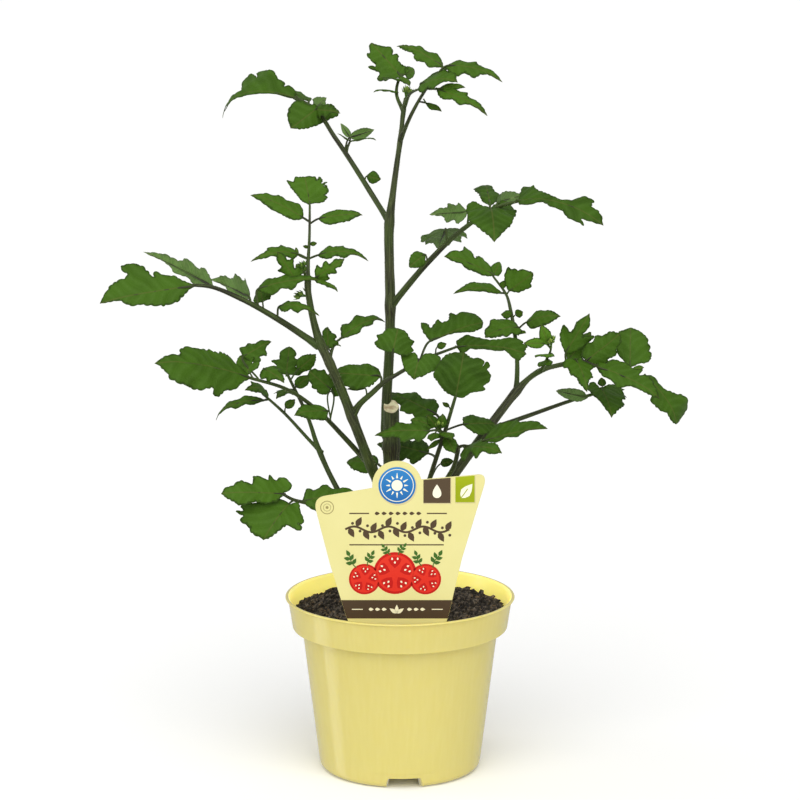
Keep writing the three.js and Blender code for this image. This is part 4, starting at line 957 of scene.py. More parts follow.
def living_leaf(name, colour, young, vein, rib_colour, vein_share, sheen):
    """A tomato leaflet's skin: matt, finely quilted green, with painted light between its veins and partly
    painted shade along its rim.
    """
    material, tree, shader = new_material(name)
    place = add_node(tree, "TexCoord").outputs["Object"]
    # A leaflet's marks: its place across the side veins, the distance from the midrib in mm, and the age.
    marks = add_node(tree, "Attribute", attribute_name="place")
    split = add_node(tree, "SeparateXYZ", {"Vector": marks.outputs["Vector"]})
    side = add_node(tree, "Math", {0: split.outputs["X"], 1: 0.5}, operation="PINGPONG")
    rib = add_node(tree, "Math", {0: split.outputs["Y"]}, operation="ABSOLUTE")
    age = split.outputs["Z"]
    # The net's meshes are 1 to 2 mm across.
    net = add_node(tree, "TexVoronoi", {"Vector": place, "Scale": per_metre(2.2)}, feature="DISTANCE_TO_EDGE")
    blotch = add_node(tree, "TexNoise", {"Vector": place, "Scale": per_metre(11), "Detail": 4})
    speck = add_node(tree, "TexNoise", {"Vector": place, "Scale": per_metre(0.9), "Detail": 3})

    deep = tuple(c * 0.68 for c in colour)
    shade = add_node(tree, "MapRange", {"Value": blotch, "From Min": 0.38, "From Max": 0.6})
    # Painted light: the middle of each quilted bulge between the side veins is mixed paler, towards the vein
    # colour and with speckle, for the light that the bulges catch.
    painted_bulge_light = add_node(tree, "MapRange", {"Value": side, "From Min": 0.12, "From Max": 0.5, "To Max": 0.3})
    patches = add_node(tree, "Math", {0: painted_bulge_light, 1: speck}, operation="MULTIPLY")
    side_vein = add_node(tree, "MapRange", {
        "Value": side, "From Min": 0.015, "From Max": 0.06, "To Min": vein_share, "To Max": 0,
    })
    mesh_vein = add_node(tree, "MapRange", {
        "Value": net, "From Max": 0.07, "To Min": vein_share * 0.6, "To Max": 0,
    })
    veins = add_node(tree, "Math", {0: side_vein, 1: mesh_vein}, operation="MAXIMUM")
    midrib = add_node(tree, "MapRange", {
        "Value": rib, "From Min": 0.2, "From Max": 0.5, "To Min": 0.4, "To Max": 0,
    })
    # The age mark falls to -1 at the rim, which is a little darker and purplish: partly the margin's own
    # tint, partly painted shade where the margin curls down.
    rim = add_node(tree, "MapRange", {
        "Value": age, "From Min": -0.9, "From Max": -0.2, "To Min": 0.36, "To Max": 0,
    })
    tint = deep
    for share, over in (
        (shade, colour), (age, young), (patches, vein), (veins, vein), (midrib, rib_colour),
        (rim, linear("#30351c")),
    ):
        tint = add_node(tree, "Mix", {FACTOR: share, MIX_A: tint, MIX_B: over}, data_type="RGBA")

    quilt = add_node(tree, "MapRange", {"Value": net, "From Max": 0.35})
    relief = add_node(tree, "Math", {0: quilt, 1: speck}, operation="ADD")
    bump = add_node(tree, "Bump", {"Height": relief, "Strength": 0.35, "Distance": 0.25 * MM})
    wire(tree, shader, {
        "Base Color": tint, "Normal": bump, "Roughness": 0.55, "IOR": 1.42, "Specular IOR Level": 0.1,
        "Sheen Weight": sheen, "Sheen Roughness": 0.5, "Sheen Tint": linear("#dfe8c8"),
    })
    return material


def downy_stem(name, colour, dark, green):
    """A tomato stem's skin. It is ribbed lengthways, olive with a brown cast, and dulled by its down."""
    material, tree, shader = new_material(name)
    marks = add_node(tree, "Attribute", attribute_name="place")
    drawn = add_node(tree, "Mapping", {"Vector": marks.outputs["Vector"], "Scale": (1, 1, 0.06)})
    # Noise in the stem's own millimetres: streaks about 0.8 mm apart that run along it.
    streaks = add_node(tree, "TexNoise", {"Vector": drawn, "Scale": 1.3, "Detail": 4})
    share = add_node(tree, "MapRange", {"Value": streaks, "From Min": 0.4, "From Max": 0.66})
    skin = add_node(tree, "Mix", {FACTOR: share, MIX_A: dark, MIX_B: colour}, data_type="RGBA")
    place = add_node(tree, "TexCoord").outputs["Object"]
    patches = add_node(tree, "TexNoise", {"Vector": place, "Scale": per_metre(28), "Detail": 2})
    patch = add_node(tree, "MapRange", {"Value": patches, "From Min": 0.4, "From Max": 0.7, "To Max": 0.7})
    tint = add_node(tree, "Mix", {FACTOR: patch, MIX_A: skin, MIX_B: green}, data_type="RGBA")
    bump = add_node(tree, "Bump", {"Height": streaks, "Strength": 0.4, "Distance": 0.25 * MM})
    wire(tree, shader, {
        "Base Color": tint, "Normal": bump, "Roughness": 0.55, "Specular IOR Level": 0.25,
        "Sheen Weight": 0.08, "Sheen Roughness": 0.45, "Sheen Tint": linear("#d9dfc4"),
    })
    return material


def plant_down():
    """Plant down: fine clear hairs, which catch the light as a pale bloom along the edges."""
    material, tree, shader = new_material("plant_down")
    place = add_node(tree, "TexCoord").outputs["Object"]
    shades = add_node(tree, "TexNoise", {"Vector": place, "Scale": per_metre(6), "Detail": 2})
    colour = add_node(tree, "Mix", {
        FACTOR: shades, MIX_A: linear("#7c8460"), MIX_B: linear("#b9c09c"),
    }, data_type="RGBA")
    wire(tree, shader, {"Base Color": colour, "Roughness": 0.4})
    return material


def cut_pith():
    """Freshly cut stem: moist pale pith with fine pores, drying to tan."""
    material, tree, shader = new_material("cut_stem_pith")
    place = add_node(tree, "TexCoord").outputs["Object"]
    pores = add_node(tree, "TexVoronoi", {"Vector": place, "Scale": per_metre(1.1)})
    dry = add_node(tree, "TexNoise", {"Vector": place, "Scale": per_metre(3), "Detail": 4})
    share = add_node(tree, "MapRange", {"Value": dry, "From Min": 0.4, "From Max": 0.65})
    pith = add_node(tree, "Mix", {
        FACTOR: share, MIX_A: linear("#e3dcb4"), MIX_B: linear("#b29c77"),
    }, data_type="RGBA")
    bump = add_node(tree, "Bump", {"Height": pores, "Strength": 0.5, "Distance": 0.3 * MM})
    wire(tree, shader, {"Base Color": pith, "Normal": bump, "Roughness": 0.45})
    return material


def studio_paper(colour):
    """Matt seamless paper: even and pale, with no shine."""
    material, tree, shader = new_material("seamless_paper")
    wire(tree, shader, {"Base Color": colour, "Roughness": 0.95, "Specular IOR Level": 0.1})
    return material


# ---------------------------------------------------------------------------
# Pot and compost
# ---------------------------------------------------------------------------

# The pot's section, in millimetres: radius, height and the rounding of the corner. It runs from the middle
# of the underside, round the foot ring, up the outside, over the lip and down the inside.
POT_SECTION = [
    (0, 6.2, 0), (38.1, 6.2, 0.8), (38.7, 0.3, 0.3), (39.1, 0, 0.3), (41.7, 0, 0.6), (43.42, 0.34, 0.8),
    (44.88, 1.32, 0.8), (45.86, 2.78, 0.8), (46.2, 4.5, 0.8),
    (46.64, 8, 0), (46.67, 8.25, 0.1), (46.69, 8.45, 0.1), (46.72, 8.65, 0.1), (46.76, 9, 0),
    (55.56, 81.2, 0.5), (56.4, 82, 0.6), (60.6, 82, 0.3), (61.05, 82.4, 0.3), (63.5, 98.7, 0.3),
    (64.6, 98.8, 0.3), (65, 99.15, 0.3), (65, 99.6, 0.3), (64.6, 100, 0.3), (63.4, 100, 0.4),
    (62.5, 98.8, 0.5), (59.5, 83.5, 1), (54.1, 83.2, 1), (45.8, 10, 1.5), (43.6, 8, 1), (0, 8, 0),
]
POT_HEIGHT, POT_RIM_RADIUS, FOOT_RING_HEIGHT = 100, 65, 6.2
FOOT_OUTER_RADIUS, FOOT_INNER_RADIUS = 46, 38.4
NOTCH_SLOPE, NOTCH_TURN = 1.5, math.radians(3)
SEAM_RISE, SEAM_HALF_WIDTH, SEAM_HEIGHTS = 0.16, 17, (8.3, 8.6)
POT_SIDES = 240


def notch_offset(angle, count):
    """How far round the foot ring an angle is from the middle of the nearest notch, in mm."""
    step = math.tau / count
    turn = (angle + math.pi / 2 - NOTCH_TURN + step / 2) % step - step / 2
    return abs(math.sin(turn)) * FOOT_OUTER_RADIUS


def pot_shape(count, width):
    """The change from the plain turned section: notches in the foot ring, and a fine seam above each."""
    half = width / MM / 2

    def shape(r, z, angle):
        away = notch_offset(angle, count)
        if z <= FOOT_RING_HEIGHT and r > FOOT_INNER_RADIUS:
            lift = (FOOT_RING_HEIGHT - 0.1) * max(0, min(1, (half - away) / NOTCH_SLOPE))
            z = lift + z * (1 - lift / FOOT_RING_HEIGHT)
        if SEAM_HEIGHTS[0] < z < SEAM_HEIGHTS[1] and r > FOOT_OUTER_RADIUS:
            r += SEAM_RISE * max(0, min(1, SEAM_HALF_WIDTH - away))
        return r * MM, z * MM

    return shape


def build_pot(settings):
    """The nursery pot: a thin turned shell with a stacking collar, a lip and a notched foot ring."""
    count, half = settings.notch_count, settings.notch_width / MM / 2
    angles = {i / POT_SIDES * math.tau for i in range(POT_SIDES)}
    for i in range(count):
        middle = -math.pi / 2 + NOTCH_TURN + i / count * math.tau
        for away in (half - NOTCH_SLOPE, half, half + 0.4, SEAM_HALF_WIDTH, SEAM_HALF_WIDTH - 1):
            turn = math.asin(away / FOOT_OUTER_RADIUS)
            angles.update({(middle + turn) % math.tau, (middle - turn) % math.tau})
    wide = settings.rim_radius / (POT_RIM_RADIUS * MM)
    tall = settings.height / (POT_HEIGHT * MM)
    plain = pot_shape(count, settings.notch_width)

    def shape(r, z, angle):
        reach, height = plain(r, z, angle)
        return reach * wide, height * tall

    section = rounded(POT_SECTION)
    section[0] = (0, section[0][1] * MM)
    section[-1] = (0, section[-1][1] * MM)
    lip_top = max(row for row, (_, z) in enumerate(section[1:-1]) if z > POT_HEIGHT - 0.1)
    shell = Shell()
    turned(shell, section, sorted(angles), shape, lip_top)
    # The inside is painted light: paler than the plastic and glowing a little, for the daylight that comes
    # through the thin wall.
    plastics = [
        moulded_polypropylene("moulded_polypropylene", settings.colour, settings.streaks, 0.5),
        moulded_polypropylene("polypropylene_painted_glow", settings.inside, settings.inside, 1, 0.36),
    ]
    shell.piece("nursery_pot", plastics, "pot_plastic", 38, ["pot"])


SOIL_WALL = [(43, 8.4), (45.3, 10.4), (53.8, 83.8), (59.1, 84.2), (60, 89)]  # radius and height, in mm
SOIL_REACH = 60.3
SOIL_AT_WALL, SOIL_AT_CENTRE, SOIL_BUMP = 90.5, 94.5, 1.1
SOIL_LUMPS = ((2.2, 0.22, 3), (1.5, 0.7, 8))  # height in mm, how many for each mm, and layer of the noise
STEM_PLACE, STEM_CLEARANCE = Vector((-5, 0)), 5  # in mm
LABEL_PLACE, LABEL_HALF_WIDTH, LABEL_CLEARANCE = -46, 30, 0.6  # where the label stands in the compost, in mm
LUMP_SQUASH = ((0.55, 2), (0.6, 1.2), (0.4, 0.9))  # how flat or long a crumb is along its three axes
LUMP_DENTS = (0.7, 1.15)
FIBRE_KNOTS, FIBRE_REACH = 7, 59.5  # points of a fibre, and how far out it may lie, in mm
FIBRE_LENGTH, FIBRE_BEND, FIBRE_RADIUS = (3, 13), (-0.8, 0.8), (0.1, 0.28)


def soil_height(x, y):
    """Height of the compost in mm: a mound with broad bumps, and uneven lumps on them."""
    share = min(1, math.hypot(x, y) / SOIL_REACH)
    bumps = math.sin(x * 0.31 + 1.3) * math.sin(y * 0.37) + 0.6 * math.sin(x * 0.83 + y * 0.71 + 0.5)
    lumps = sum(rise * noise.noise(Vector((x * fine, y * fine, layer))) for rise, fine, layer in SOIL_LUMPS)
    return blend(SOIL_AT_CENTRE, SOIL_AT_WALL, share**2) + bumps * SOIL_BUMP / 1.6 + lumps


def scatter(draw, count, margin):
    """Random places on the compost, in mm, clear of the wall, the stem and the label."""
    places = []
    while len(places) < count:
        reach = math.sqrt(draw.random()) * (SOIL_REACH - margin)
        turn = draw.random() * math.tau
        x, y = reach * math.cos(turn), reach * math.sin(turn)
        by_label = abs(y - LABEL_PLACE) < margin + LABEL_CLEARANCE and abs(x) < LABEL_HALF_WIDTH
        if (Vector((x, y)) - STEM_PLACE).length > STEM_CLEARANCE + margin and not by_label:
            places.append((x, y))
    return places


def lump(shell, centre, size, draw):
    """Adds one irregular crumb: a twelve-cornered ball with its corners pushed in and out."""
    squash = Vector([draw.uniform(*span) for span in LUMP_SQUASH])
    turn = Vector((draw.random(), draw.random(), draw.random())).normalized()
    spin = turn.rotation_difference(Vector((0, 0, 1)))
    placed = []
    for corner in BALL_CORNERS:
        point = corner.normalized() * size * draw.uniform(*LUMP_DENTS)
        placed.append(centre + spin @ Vector(a * b for a, b in zip(point, squash)))
    shell.add([from_mm(p) for p in placed], BALL_FACES)


def ball_faces(corners, edge=2):
    """The faces of the ball that a crumb starts from, all turned outwards. Its edges are edge long."""
    faces = []
    for a, b, c in combinations(range(len(corners)), 3):
        sides = (corners[a] - corners[b], corners[b] - corners[c], corners[c] - corners[a])
        if all(abs(side.length - edge) < 0.01 for side in sides):
            outwards = sides[2].cross(sides[0]).dot(corners[a]) > 0
            faces.append((a, b, c) if outwards else (a, c, b))
    return faces


GOLDEN = (1 + math.sqrt(5)) / 2
BALL_CORNERS = [
    Vector(corner)
    for a in (-1, 1)
    for b in (-GOLDEN, GOLDEN)
    for corner in ((0, a, b), (a, b, 0), (b, 0, a))
]
BALL_FACES = ball_faces(BALL_CORNERS)


def build_soil(settings):
    """The compost: a crumbly bed that fills the pot, with loose crumbs and fibres on it."""
    draw = random.Random(SEED)
    rings, sectors = 84, 240
    shell = Shell()

    def shape(r, z, angle):
        height = soil_height(r * math.cos(angle), r * math.sin(angle)) if z is None else z
        return r * MM, height * MM

    # The rings of the top have no height of their own.
    profile = [(0, SOIL_WALL[0][1] * MM), *SOIL_WALL]
    profile += [(SOIL_REACH * (1 - i / rings), None) for i in range(rings)]
    profile.append((0, soil_height(0, 0) * MM))
    turned(shell, profile, [k / sectors * math.tau for k in range(sectors)], shape)
    for x, y in scatter(draw, settings.crumb_count, 2):
        size = blend(0.6, settings.crumb_size / MM / 2, draw.random() ** 2.5)
        lump(shell, Vector((x, y, soil_height(x, y) + size * draw.uniform(-0.1, 0.5))), size, draw)
    for x, y in scatter(draw, settings.fibre_count, 4):
        length = draw.uniform(*FIBRE_LENGTH)
        heading = draw.random() * math.tau
        bend = draw.uniform(*FIBRE_BEND)
        centres, place, last = [], Vector((x, y)), FIBRE_KNOTS - 1
        for k in range(FIBRE_KNOTS):
            lift = 0.35 + 0.8 * math.sin(k / last * math.pi) * draw.random()
            if place.length < FIBRE_REACH:
                centres.append(from_mm((place.x, place.y, soil_height(place.x, place.y) + lift)))
            place = place + Vector((math.cos(heading), math.sin(heading))) * (length / last)
            heading += bend / last
        if len(centres) > 3:
            thick = draw.uniform(*FIBRE_RADIUS) * MM
            tube(shell, centres, [thick * (1 - 0.6 * k / last) for k in range(len(centres))], 5, finish=1)
    peat = pressed_peat(settings.colour, settings.light)
    shell.piece("peat_compost_bed", [peat, dry_fibre()], "peat", 50, ["soil"])


# ---------------------------------------------------------------------------
# Label
# ---------------------------------------------------------------------------

# Places on the label are in its own plane, in millimetres: x across, and h up from the floor.
LABEL_LEAN = math.radians(1.5)
DISC_CENTRE, DISC_RADIUS = (-1.6, 173), 13.6
# The slots of the inks. The card itself has slot 0.
CREAM, BLUE, BROWN, DARK_BROWN, LIME, BEIGE, RED, FLESH, GREEN, TAN = range(1, 11)
INK_LIFT, INK_SINK = 0.035, 0.02  # how far one layer of ink stands proud, and how deep it starts, in mm


def on_label(x, h, d):
    """The point of the label at this place, d mm in front of its face."""
    up = h - POT_HEIGHT
    cos, sin = math.cos(math.pi / 2 - LABEL_LEAN), math.sin(math.pi / 2 - LABEL_LEAN)
    return from_mm((x, LABEL_PLACE + up * cos - d * sin, POT_HEIGHT + up * sin + d * cos))


def quadratic(start, pull, end, steps):
    """Points on a quadratic curve, without its start."""
    places = []
    for k in range(1, steps + 1):
        t = k / steps
        places.append(tuple(
            a * (1 - t) ** 2 + b * 2 * t * (1 - t) + c * t**2 for a, b, c in zip(start, pull, end)
        ))
    return places


def arc(centre, radius, start, end, steps):
    """Points on an arc, from and to angles in degrees."""
    turns = [math.radians(blend(start, end, k / steps)) for k in range(steps + 1)]
    return [(centre[0] + radius * math.cos(a), centre[1] + radius * math.sin(a)) for a in turns]


def label_outline():
    """The die-cut outline, anticlockwise: a point below, a flared card above it, and a round head on top."""
    corners = [(-1, 44), (9, 62), (21, 84), (26.5, 99), (34, 132), (46.2, 173.5)]
    corners += quadratic((46.2, 173.5), (47.4, 179.2), (43, 179.1), 10)
    corners += arc(DISC_CENTRE, DISC_RADIUS, 14, 186, 60)
    corners += [(-41, 167.2)]
    corners += quadratic((-41, 167.2), (-47.6, 166), (-46, 159), 10)
    return corners + [(-38.5, 129), (-29.5, 99), (-23, 84), (-11, 62)]


def inset(outline, size):
    """The outline moved inwards by size at each corner."""
    moved = []
    for i, (x, y) in enumerate(outline):
        before, after = Vector(outline[i - 1]), Vector(outline[(i + 1) % len(outline)])
        here = Vector((x, y))
        run = (here - before).normalized() + (after - here).normalized()
        run = run.normalized()
        moved.append((x - run.y * size, y + run.x * size))
    return moved


def stack(shell, layers, finish):
    """Adds a closed flat body from outlines of equal count, each given with its depth, from back to front."""
    count = len(layers[0][0])
    points = [on_label(x, h, d) for outline, d in layers for x, h in outline]
    flat = [Vector((x, h, 0)) for x, h in layers[-1][0]]
    caps = tessellate_polygon([flat])
    faces = []
    last = (len(layers) - 1) * count
    for a, b, c in caps:
        turn = (flat[b] - flat[a]).cross(flat[c] - flat[a]).z
        a, b, c = (a, b, c) if turn > 0 else (a, c, b)
        faces.append((a + last, b + last, c + last))
        faces.append((a, c, b))
    for layer in range(len(layers) - 1):
        for i in range(count):
            a, b = layer * count + i, layer * count + (i + 1) % count
            faces.append((a, b, b + count, a + count))
    shell.add(points, faces, finish)


def ink(shell, outline, finish, layer=1):
    """Adds one printed shape, a film of ink on the card. Each higher layer lies on the one below."""
    area = sum(a[0] * b[1] - b[0] * a[1] for a, b in zip(outline, outline[1:] + outline[:1]))
    outline = outline if area > 0 else outline[::-1]
    stack(shell, [(outline, -INK_SINK), (outline, INK_LIFT * layer)], finish)


def box_of(left, right, low, high):
    """A rectangle's corners."""
    return [(left, low), (right, low), (right, high), (left, high)]


def round_of(centre, radius, steps=32):
    """A circle's points."""
    return arc(centre, radius, 0, 360 - 360 / steps, steps - 1)


def axes_of(heading):
    """The direction of a heading in degrees, and the direction to its left."""
    along = Vector((math.cos(math.radians(heading)), math.sin(math.radians(heading))))
    return along, Vector((-along.y, along.x))


def leaf_of(foot, heading, length, half):
    """A pointed leaf shape, from its foot in the direction of heading, in degrees."""
    along, across = axes_of(heading)
    shares = [(0, 0), (0.15, 0.6), (0.38, 1), (0.65, 0.75), (0.86, 0.32), (1, 0)]
    places = shares + [(t, -w) for t, w in shares[-2:0:-1]]
    return [tuple(Vector(foot) + along * t * length + across * w * half) for t, w in places]


def band_of(route, half):
    """A line of even width along a route."""
    left, right = [], []
    for i, place in enumerate(route):
        before, after = Vector(route[max(0, i - 1)]), Vector(route[min(len(route) - 1, i + 1)])
        run = (after - before).normalized()
        left.append((place[0] - run.y * half, place[1] + run.x * half))
        right.append((place[0] + run.y * half, place[1] - run.x * half))
    return right + left[::-1]


def ring_of(shell, centre, inner, outer, finish, layer):
    """Adds a printed ring as two half bands that meet."""
    for start in (0, 180):
        route = arc(centre, (inner + outer) / 2, start, start + 180, 24)
        ink(shell, band_of(route, (outer - inner) / 2), finish, layer)


def tomato_slice(shell, centre, radius, turn):
    """Adds a cut tomato's round slice: skin, flesh, a pale core and wedges of seeds."""
    ink(shell, round_of(centre, radius, 40), RED, 1)
    ink(shell, round_of(centre, radius * 0.88, 40), FLESH, 2)
    wedge = [
        (0.24, 0), (0.42, -0.2), (0.64, -0.31), (0.75, -0.22), (0.78, 0),
        (0.75, 0.22), (0.64, 0.31), (0.42, 0.2),
    ]
    for heading in range(turn, turn + 360, 72):
        along, across = axes_of(heading)
        ink(shell, [tuple(Vector(centre) + (along * a + across * b) * radius) for a, b in wedge], RED, 3)
        for a, b in ((0.45, 0), (0.62, 0.13), (0.62, -0.13)):
            seed = Vector(centre) + (along * a + across * b) * radius
            ink(shell, leaf_of(tuple(seed), heading, radius * 0.13, radius * 0.045), CREAM, 4)


def sprig(shell, foot, heading, length):
    """Adds a printed sprig: a bent stalk with five leaves."""
    along, across = axes_of(heading)

    def stalk(share):
        return tuple(Vector(foot) + along * share * length + across * 0.12 * length * math.sin(share * 3))

    ink(shell, band_of([stalk(t) for t in (0, 0.25, 0.5, 0.75, 1)], 0.28), GREEN, 2)
    for share, turn in ((1, 0), (0.75, 48), (0.7, -52), (0.4, 55), (0.36, -58)):
        ink(shell, leaf_of(stalk(share), heading + turn, length * 0.5, length * 0.15), GREEN, 3)


def vine_height(x):
    """The height of the printed vine above the floor at x, in mm."""
    middle, swing, left, length, waves = 148.5, 1.6, -30, 57, 3
    return middle + swing * math.sin((x - left) / length * math.tau * waves)


def build_label_print(shell):
    """Adds the print: a round sun badge, two tabs, a vine rule, tomato slices and a dark foot band."""
    cx, cy = DISC_CENTRE
    ink(shell, round_of((cx + 0.35, cy - 0.6), 10.6, 64), BEIGE, 1)
    ink(shell, round_of(DISC_CENTRE, 10.2, 64), BLUE, 2)
    ring_of(shell, DISC_CENTRE, 8.7, 9.1, CREAM, 3)
    ink(shell, round_of(DISC_CENTRE, 3, 32), CREAM, 3)
    for k in range(12):
        along, across = axes_of(k * 30)
        reach = 6.9 if k % 2 else 6
        ray = [
            along * 4 - across * 0.55, along * reach - across * 0.12,
            along * reach + across * 0.12, along * 4 + across * 0.55,
        ]
        ink(shell, [(cx + p.x, cy + p.y) for p in ray], CREAM, 3)

    # The two tabs hang from the card's top edge, each over its own soft shadow.
    ink(shell, [(12.8, 162.6), (28.1, 162.6), (28.1, 177.2), (12.8, 176)], BEIGE, 1)
    ink(shell, [(12.8, 163.2), (27.6, 163.2), (27.6, 177.3), (12.8, 176.1)], BROWN, 2)
    ink(shell, [(30.3, 163), (41.3, 163), (41.3, 178.4), (30.3, 177.5)], BEIGE, 1)
    ink(shell, [(30.3, 163.6), (40.8, 163.6), (40.8, 178.5), (30.3, 177.6)], LIME, 2)
    drop = [(20.2, 173.6)] + quadratic((20.2, 173.6), (22.6, 170.4), (22.6, 168.4), 6)
    drop += arc((20.2, 168.4), 2.4, -10, -170, 12)
    drop += quadratic((17.8, 168.4), (17.8, 170.4), (20.2, 173.6), 6)[:-1]
    ink(shell, drop, CREAM, 3)
    ink(shell, leaf_of((33.4, 166), 52, 10, 2.9), CREAM, 3)
    ink(shell, band_of([(32.6, 165.2), (35, 168.2), (37, 171.2)], 0.25), LIME, 4)
    target = (-39.9, 160.7)
    ring_of(shell, target, 3.3, 3.75, TAN, 1)
    ring_of(shell, target, 1.9, 2.15, TAN, 1)
    ink(shell, round_of(target, 0.8, 20), TAN)

    for left, right in ((-27.8, -16.9), (14.7, 25.7)):
        ink(shell, box_of(left, right, 157.05, 157.75), DARK_BROWN)
    for x in (-12.5, -8.7, -4.9, -1.1, 2.7, 6.5, 10.3):
        ink(shell, leaf_of((x - 1.4, 157.4), 0, 2.9, 1), DARK_BROWN)
    ink(shell, box_of(-27.8, 24, 139.5, 140.2), DARK_BROWN)
    ink(shell, band_of([(x, vine_height(x)) for x in range(-30, 28)], 0.6), DARK_BROWN)
    for k in range(14):
        x = -28 + k * 4.1
        heading, side = (62, 1) if k % 2 else (-62, -1)
        ink(shell, leaf_of((x, vine_height(x) + side * 0.2), heading, 6, 1.75), DARK_BROWN, 2)
        ink(shell, round_of((x + 2, vine_height(x) - side * 2.4), 0.8, 14), BROWN, 2)

    for foot, heading, length in (
        ((-24, 127), 118, 7.5), ((-18, 128), 66, 6.5), ((12, 128), 114, 6.5), ((18, 127), 62, 7.5),
        ((-1, 134), 56, 5.5), ((-5, 134), 128, 5.5),
    ):
        sprig(shell, foot, heading, length)
    tomato_slice(shell, (-19.5, 120.6), 8.6, 12)
    tomato_slice(shell, (14, 120.6), 8.6, 40)
    tomato_slice(shell, (-2.8, 124), 11.8, 90)

    foot_band = [(-29.16, 98.4), (26.2, 98.4), (26.42, 99), (28.65, 108.8), (-32.36, 108.8), (-29.42, 99)]
    ink(shell, foot_band, DARK_BROWN)
    for left, right in ((-26.5, -20.5), (17.5, 23.5)):
        ink(shell, box_of(left, right, 103.35, 103.85), CREAM, 2)
    for x in (-16, -12.4, -8.8, 5.2, 8.8, 12.4):
        ink(shell, leaf_of((x - 1.3, 103.6), 0, 2.8, 0.9), CREAM, 2)
    for heading in (35, 90, 145):
        ink(shell, leaf_of((-1.8, 101.4), heading, 4.8, 1.1), CREAM, 2)


def build_label(settings):
    """The plant label: a thin die-cut card with softened edges, and its printed face."""
    thick, soft = settings.thickness / MM, 0.15
    outline = label_outline()
    small = inset(outline, soft)
    card = Shell()
    stack(card, [(small, -thick), (outline, soft - thick), (outline, -soft), (small, 0)], 0)
    plastic = calendered_card(settings.card)
    card.piece("plant_label_card", [plastic], "label_plastic", 30, ["label"])

    face = Shell()
    build_label_print(face)
    low, high = LABEL_LOW.z + (LABEL_HIGH.z - LABEL_LOW.z) * 0.4, LABEL_HIGH.z
    head, tabs, fruit = (high - length * MM for length in (24, 16, 68))
    inks = [plastic]
    # Each ink has its colour at the height where its shading starts, and at the label's top.
    for name, foot, top, start in (
        ("cream", linear("#e6e0be"), "#eee9d2", low),
        ("blue", settings.badge, "#3380bd", head),
        ("brown", linear("#4a3c2c"), "#534431", low),
        ("dark_brown", settings.foot, "#54432f", low),
        ("lime", linear("#8f9c0e"), "#a1b012", tabs),
        ("beige", linear("#c3b785"), "#cbbf8d", low),
        ("tomato_red", linear("#b3140c"), "#c72016", fruit),
        ("tomato_flesh", linear("#cf2a1a"), "#e2492f", fruit),
        ("leaf_green", linear("#35591f"), "#4f7a2c", fruit),
        ("tan", linear("#8d8150"), "#968a58", low),
    ):
        inks.append(printed_ink("ink_" + name, foot, linear(top), start, high))
    face.piece("plant_label_print", inks, "label_plastic", 30)


# ---------------------------------------------------------------------------
# Stems, leaves and buds
# ---------------------------------------------------------------------------

CUT_SLOPE = math.radians(34)
CUT_MIDDLE = 208.6  # height of the middle of the main stem's cut face, in mm
CUT_BEND = 12  # length over which the stem's rings lean over to the cut, in mm
CUT_HOLLOW = 3.2  # how far the middle of the cut sinks from its dome, in mm
THICK_STEM = 4  # radius in mm from which a stem is drawn with more sides and more down
HAIR_RADIUS = 0.045
HAIR_SPREAD = (0.5, 1.3)  # the shortest and the longest hair, as shares of their usual length
SWELL, SWELL_REACH = 0.16, 4.5  # how much a stem swells where another leaves it, and over how many mm
FOOT_REACH = 5  # length over which the foot of a shoot swells, in mm
SWAY, SWAY_LENGTH = 0.04, 9  # how much a stem's radius wavers, and over how many mm
STEM_RIDGES, RIDGE_DEPTH = 5, 0.035


def radius_at(radii, knot, last):
    """The radius at a knot number, in metres. Two radii alone run evenly over the whole route."""
    if len(radii) == 2:
        return blend(radii[0], radii[1], knot / last) * MM
    low = min(int(knot), last - 1)
    return blend(radii[low], radii[low + 1], knot - low) * MM


def joints_of(name, rows):
    """Where those of the rows that grow from a stem or midrib leave it, in metres."""
    return [from_mm(grown["path"][0]) for grown in rows if grown["parent"] == name]


def down(shell, rings, per_mm, length, draw, finish):
    """Adds hairs that stand out of a stem: closed three-sided needles, so many for each mm of its run."""
    for near, far in zip(rings, rings[1:]):
        wanted = (far[0] - near[0]).length / MM * per_mm
        for _ in range(int(wanted) + (draw.random() < wanted % 1)):
            turn, share = draw.random() * math.tau, draw.random()
            centre, along, side, other, radius = near
            out = side * math.cos(turn) + other * math.sin(turn)
            lean = along * draw.uniform(-0.5, 0.2) + side * draw.uniform(-0.3, 0.3)
            lean = lean + other * draw.uniform(-0.3, 0.3)
            way = (out + lean).normalized()
            foot = centre.lerp(far[0], share) + out * radius * 0.95
            across = way.cross(along).normalized() * HAIR_RADIUS * MM
            third = way.cross(across).normalized() * HAIR_RADIUS * MM
            tip = foot + way * length * draw.uniform(*HAIR_SPREAD)
            back = foot - across * 0.5
            points = [foot + across, back + third * 0.87, back - third * 0.87, tip]
            shell.add(points, [(0, 1, 3), (1, 2, 3), (2, 0, 3), (0, 2, 1)], finish)


def stem_rings(shell, path, radii, joints, step, sides, finish=0, foot_swell=0.0):
    """Adds a stem along its path, a little swollen at its foot and where others leave it."""
    route = smooth_route([from_mm(p) for p in path], step * MM)
    last = len(path) - 1
    centres, sizes = [], []
    start = route[0][0]
    for centre, knot in route:
        radius = radius_at(radii, knot, last)
        swell = sum(SWELL * math.exp(-(((centre - j).length / (SWELL_REACH * MM)) ** 2)) for j in joints)
        swell += foot_swell * math.exp(-(((centre - start).length / (FOOT_REACH * MM)) ** 2))
        sway = 1 + SWAY * noise.noise(centre / (SWAY_LENGTH * MM))
        centres.append(centre)
        sizes.append(radius * (1 + min(0.3, swell)) * sway)
    return tube(shell, centres, sizes, sides, finish, STEM_RIDGES, RIDGE_DEPTH, dome=0.6)


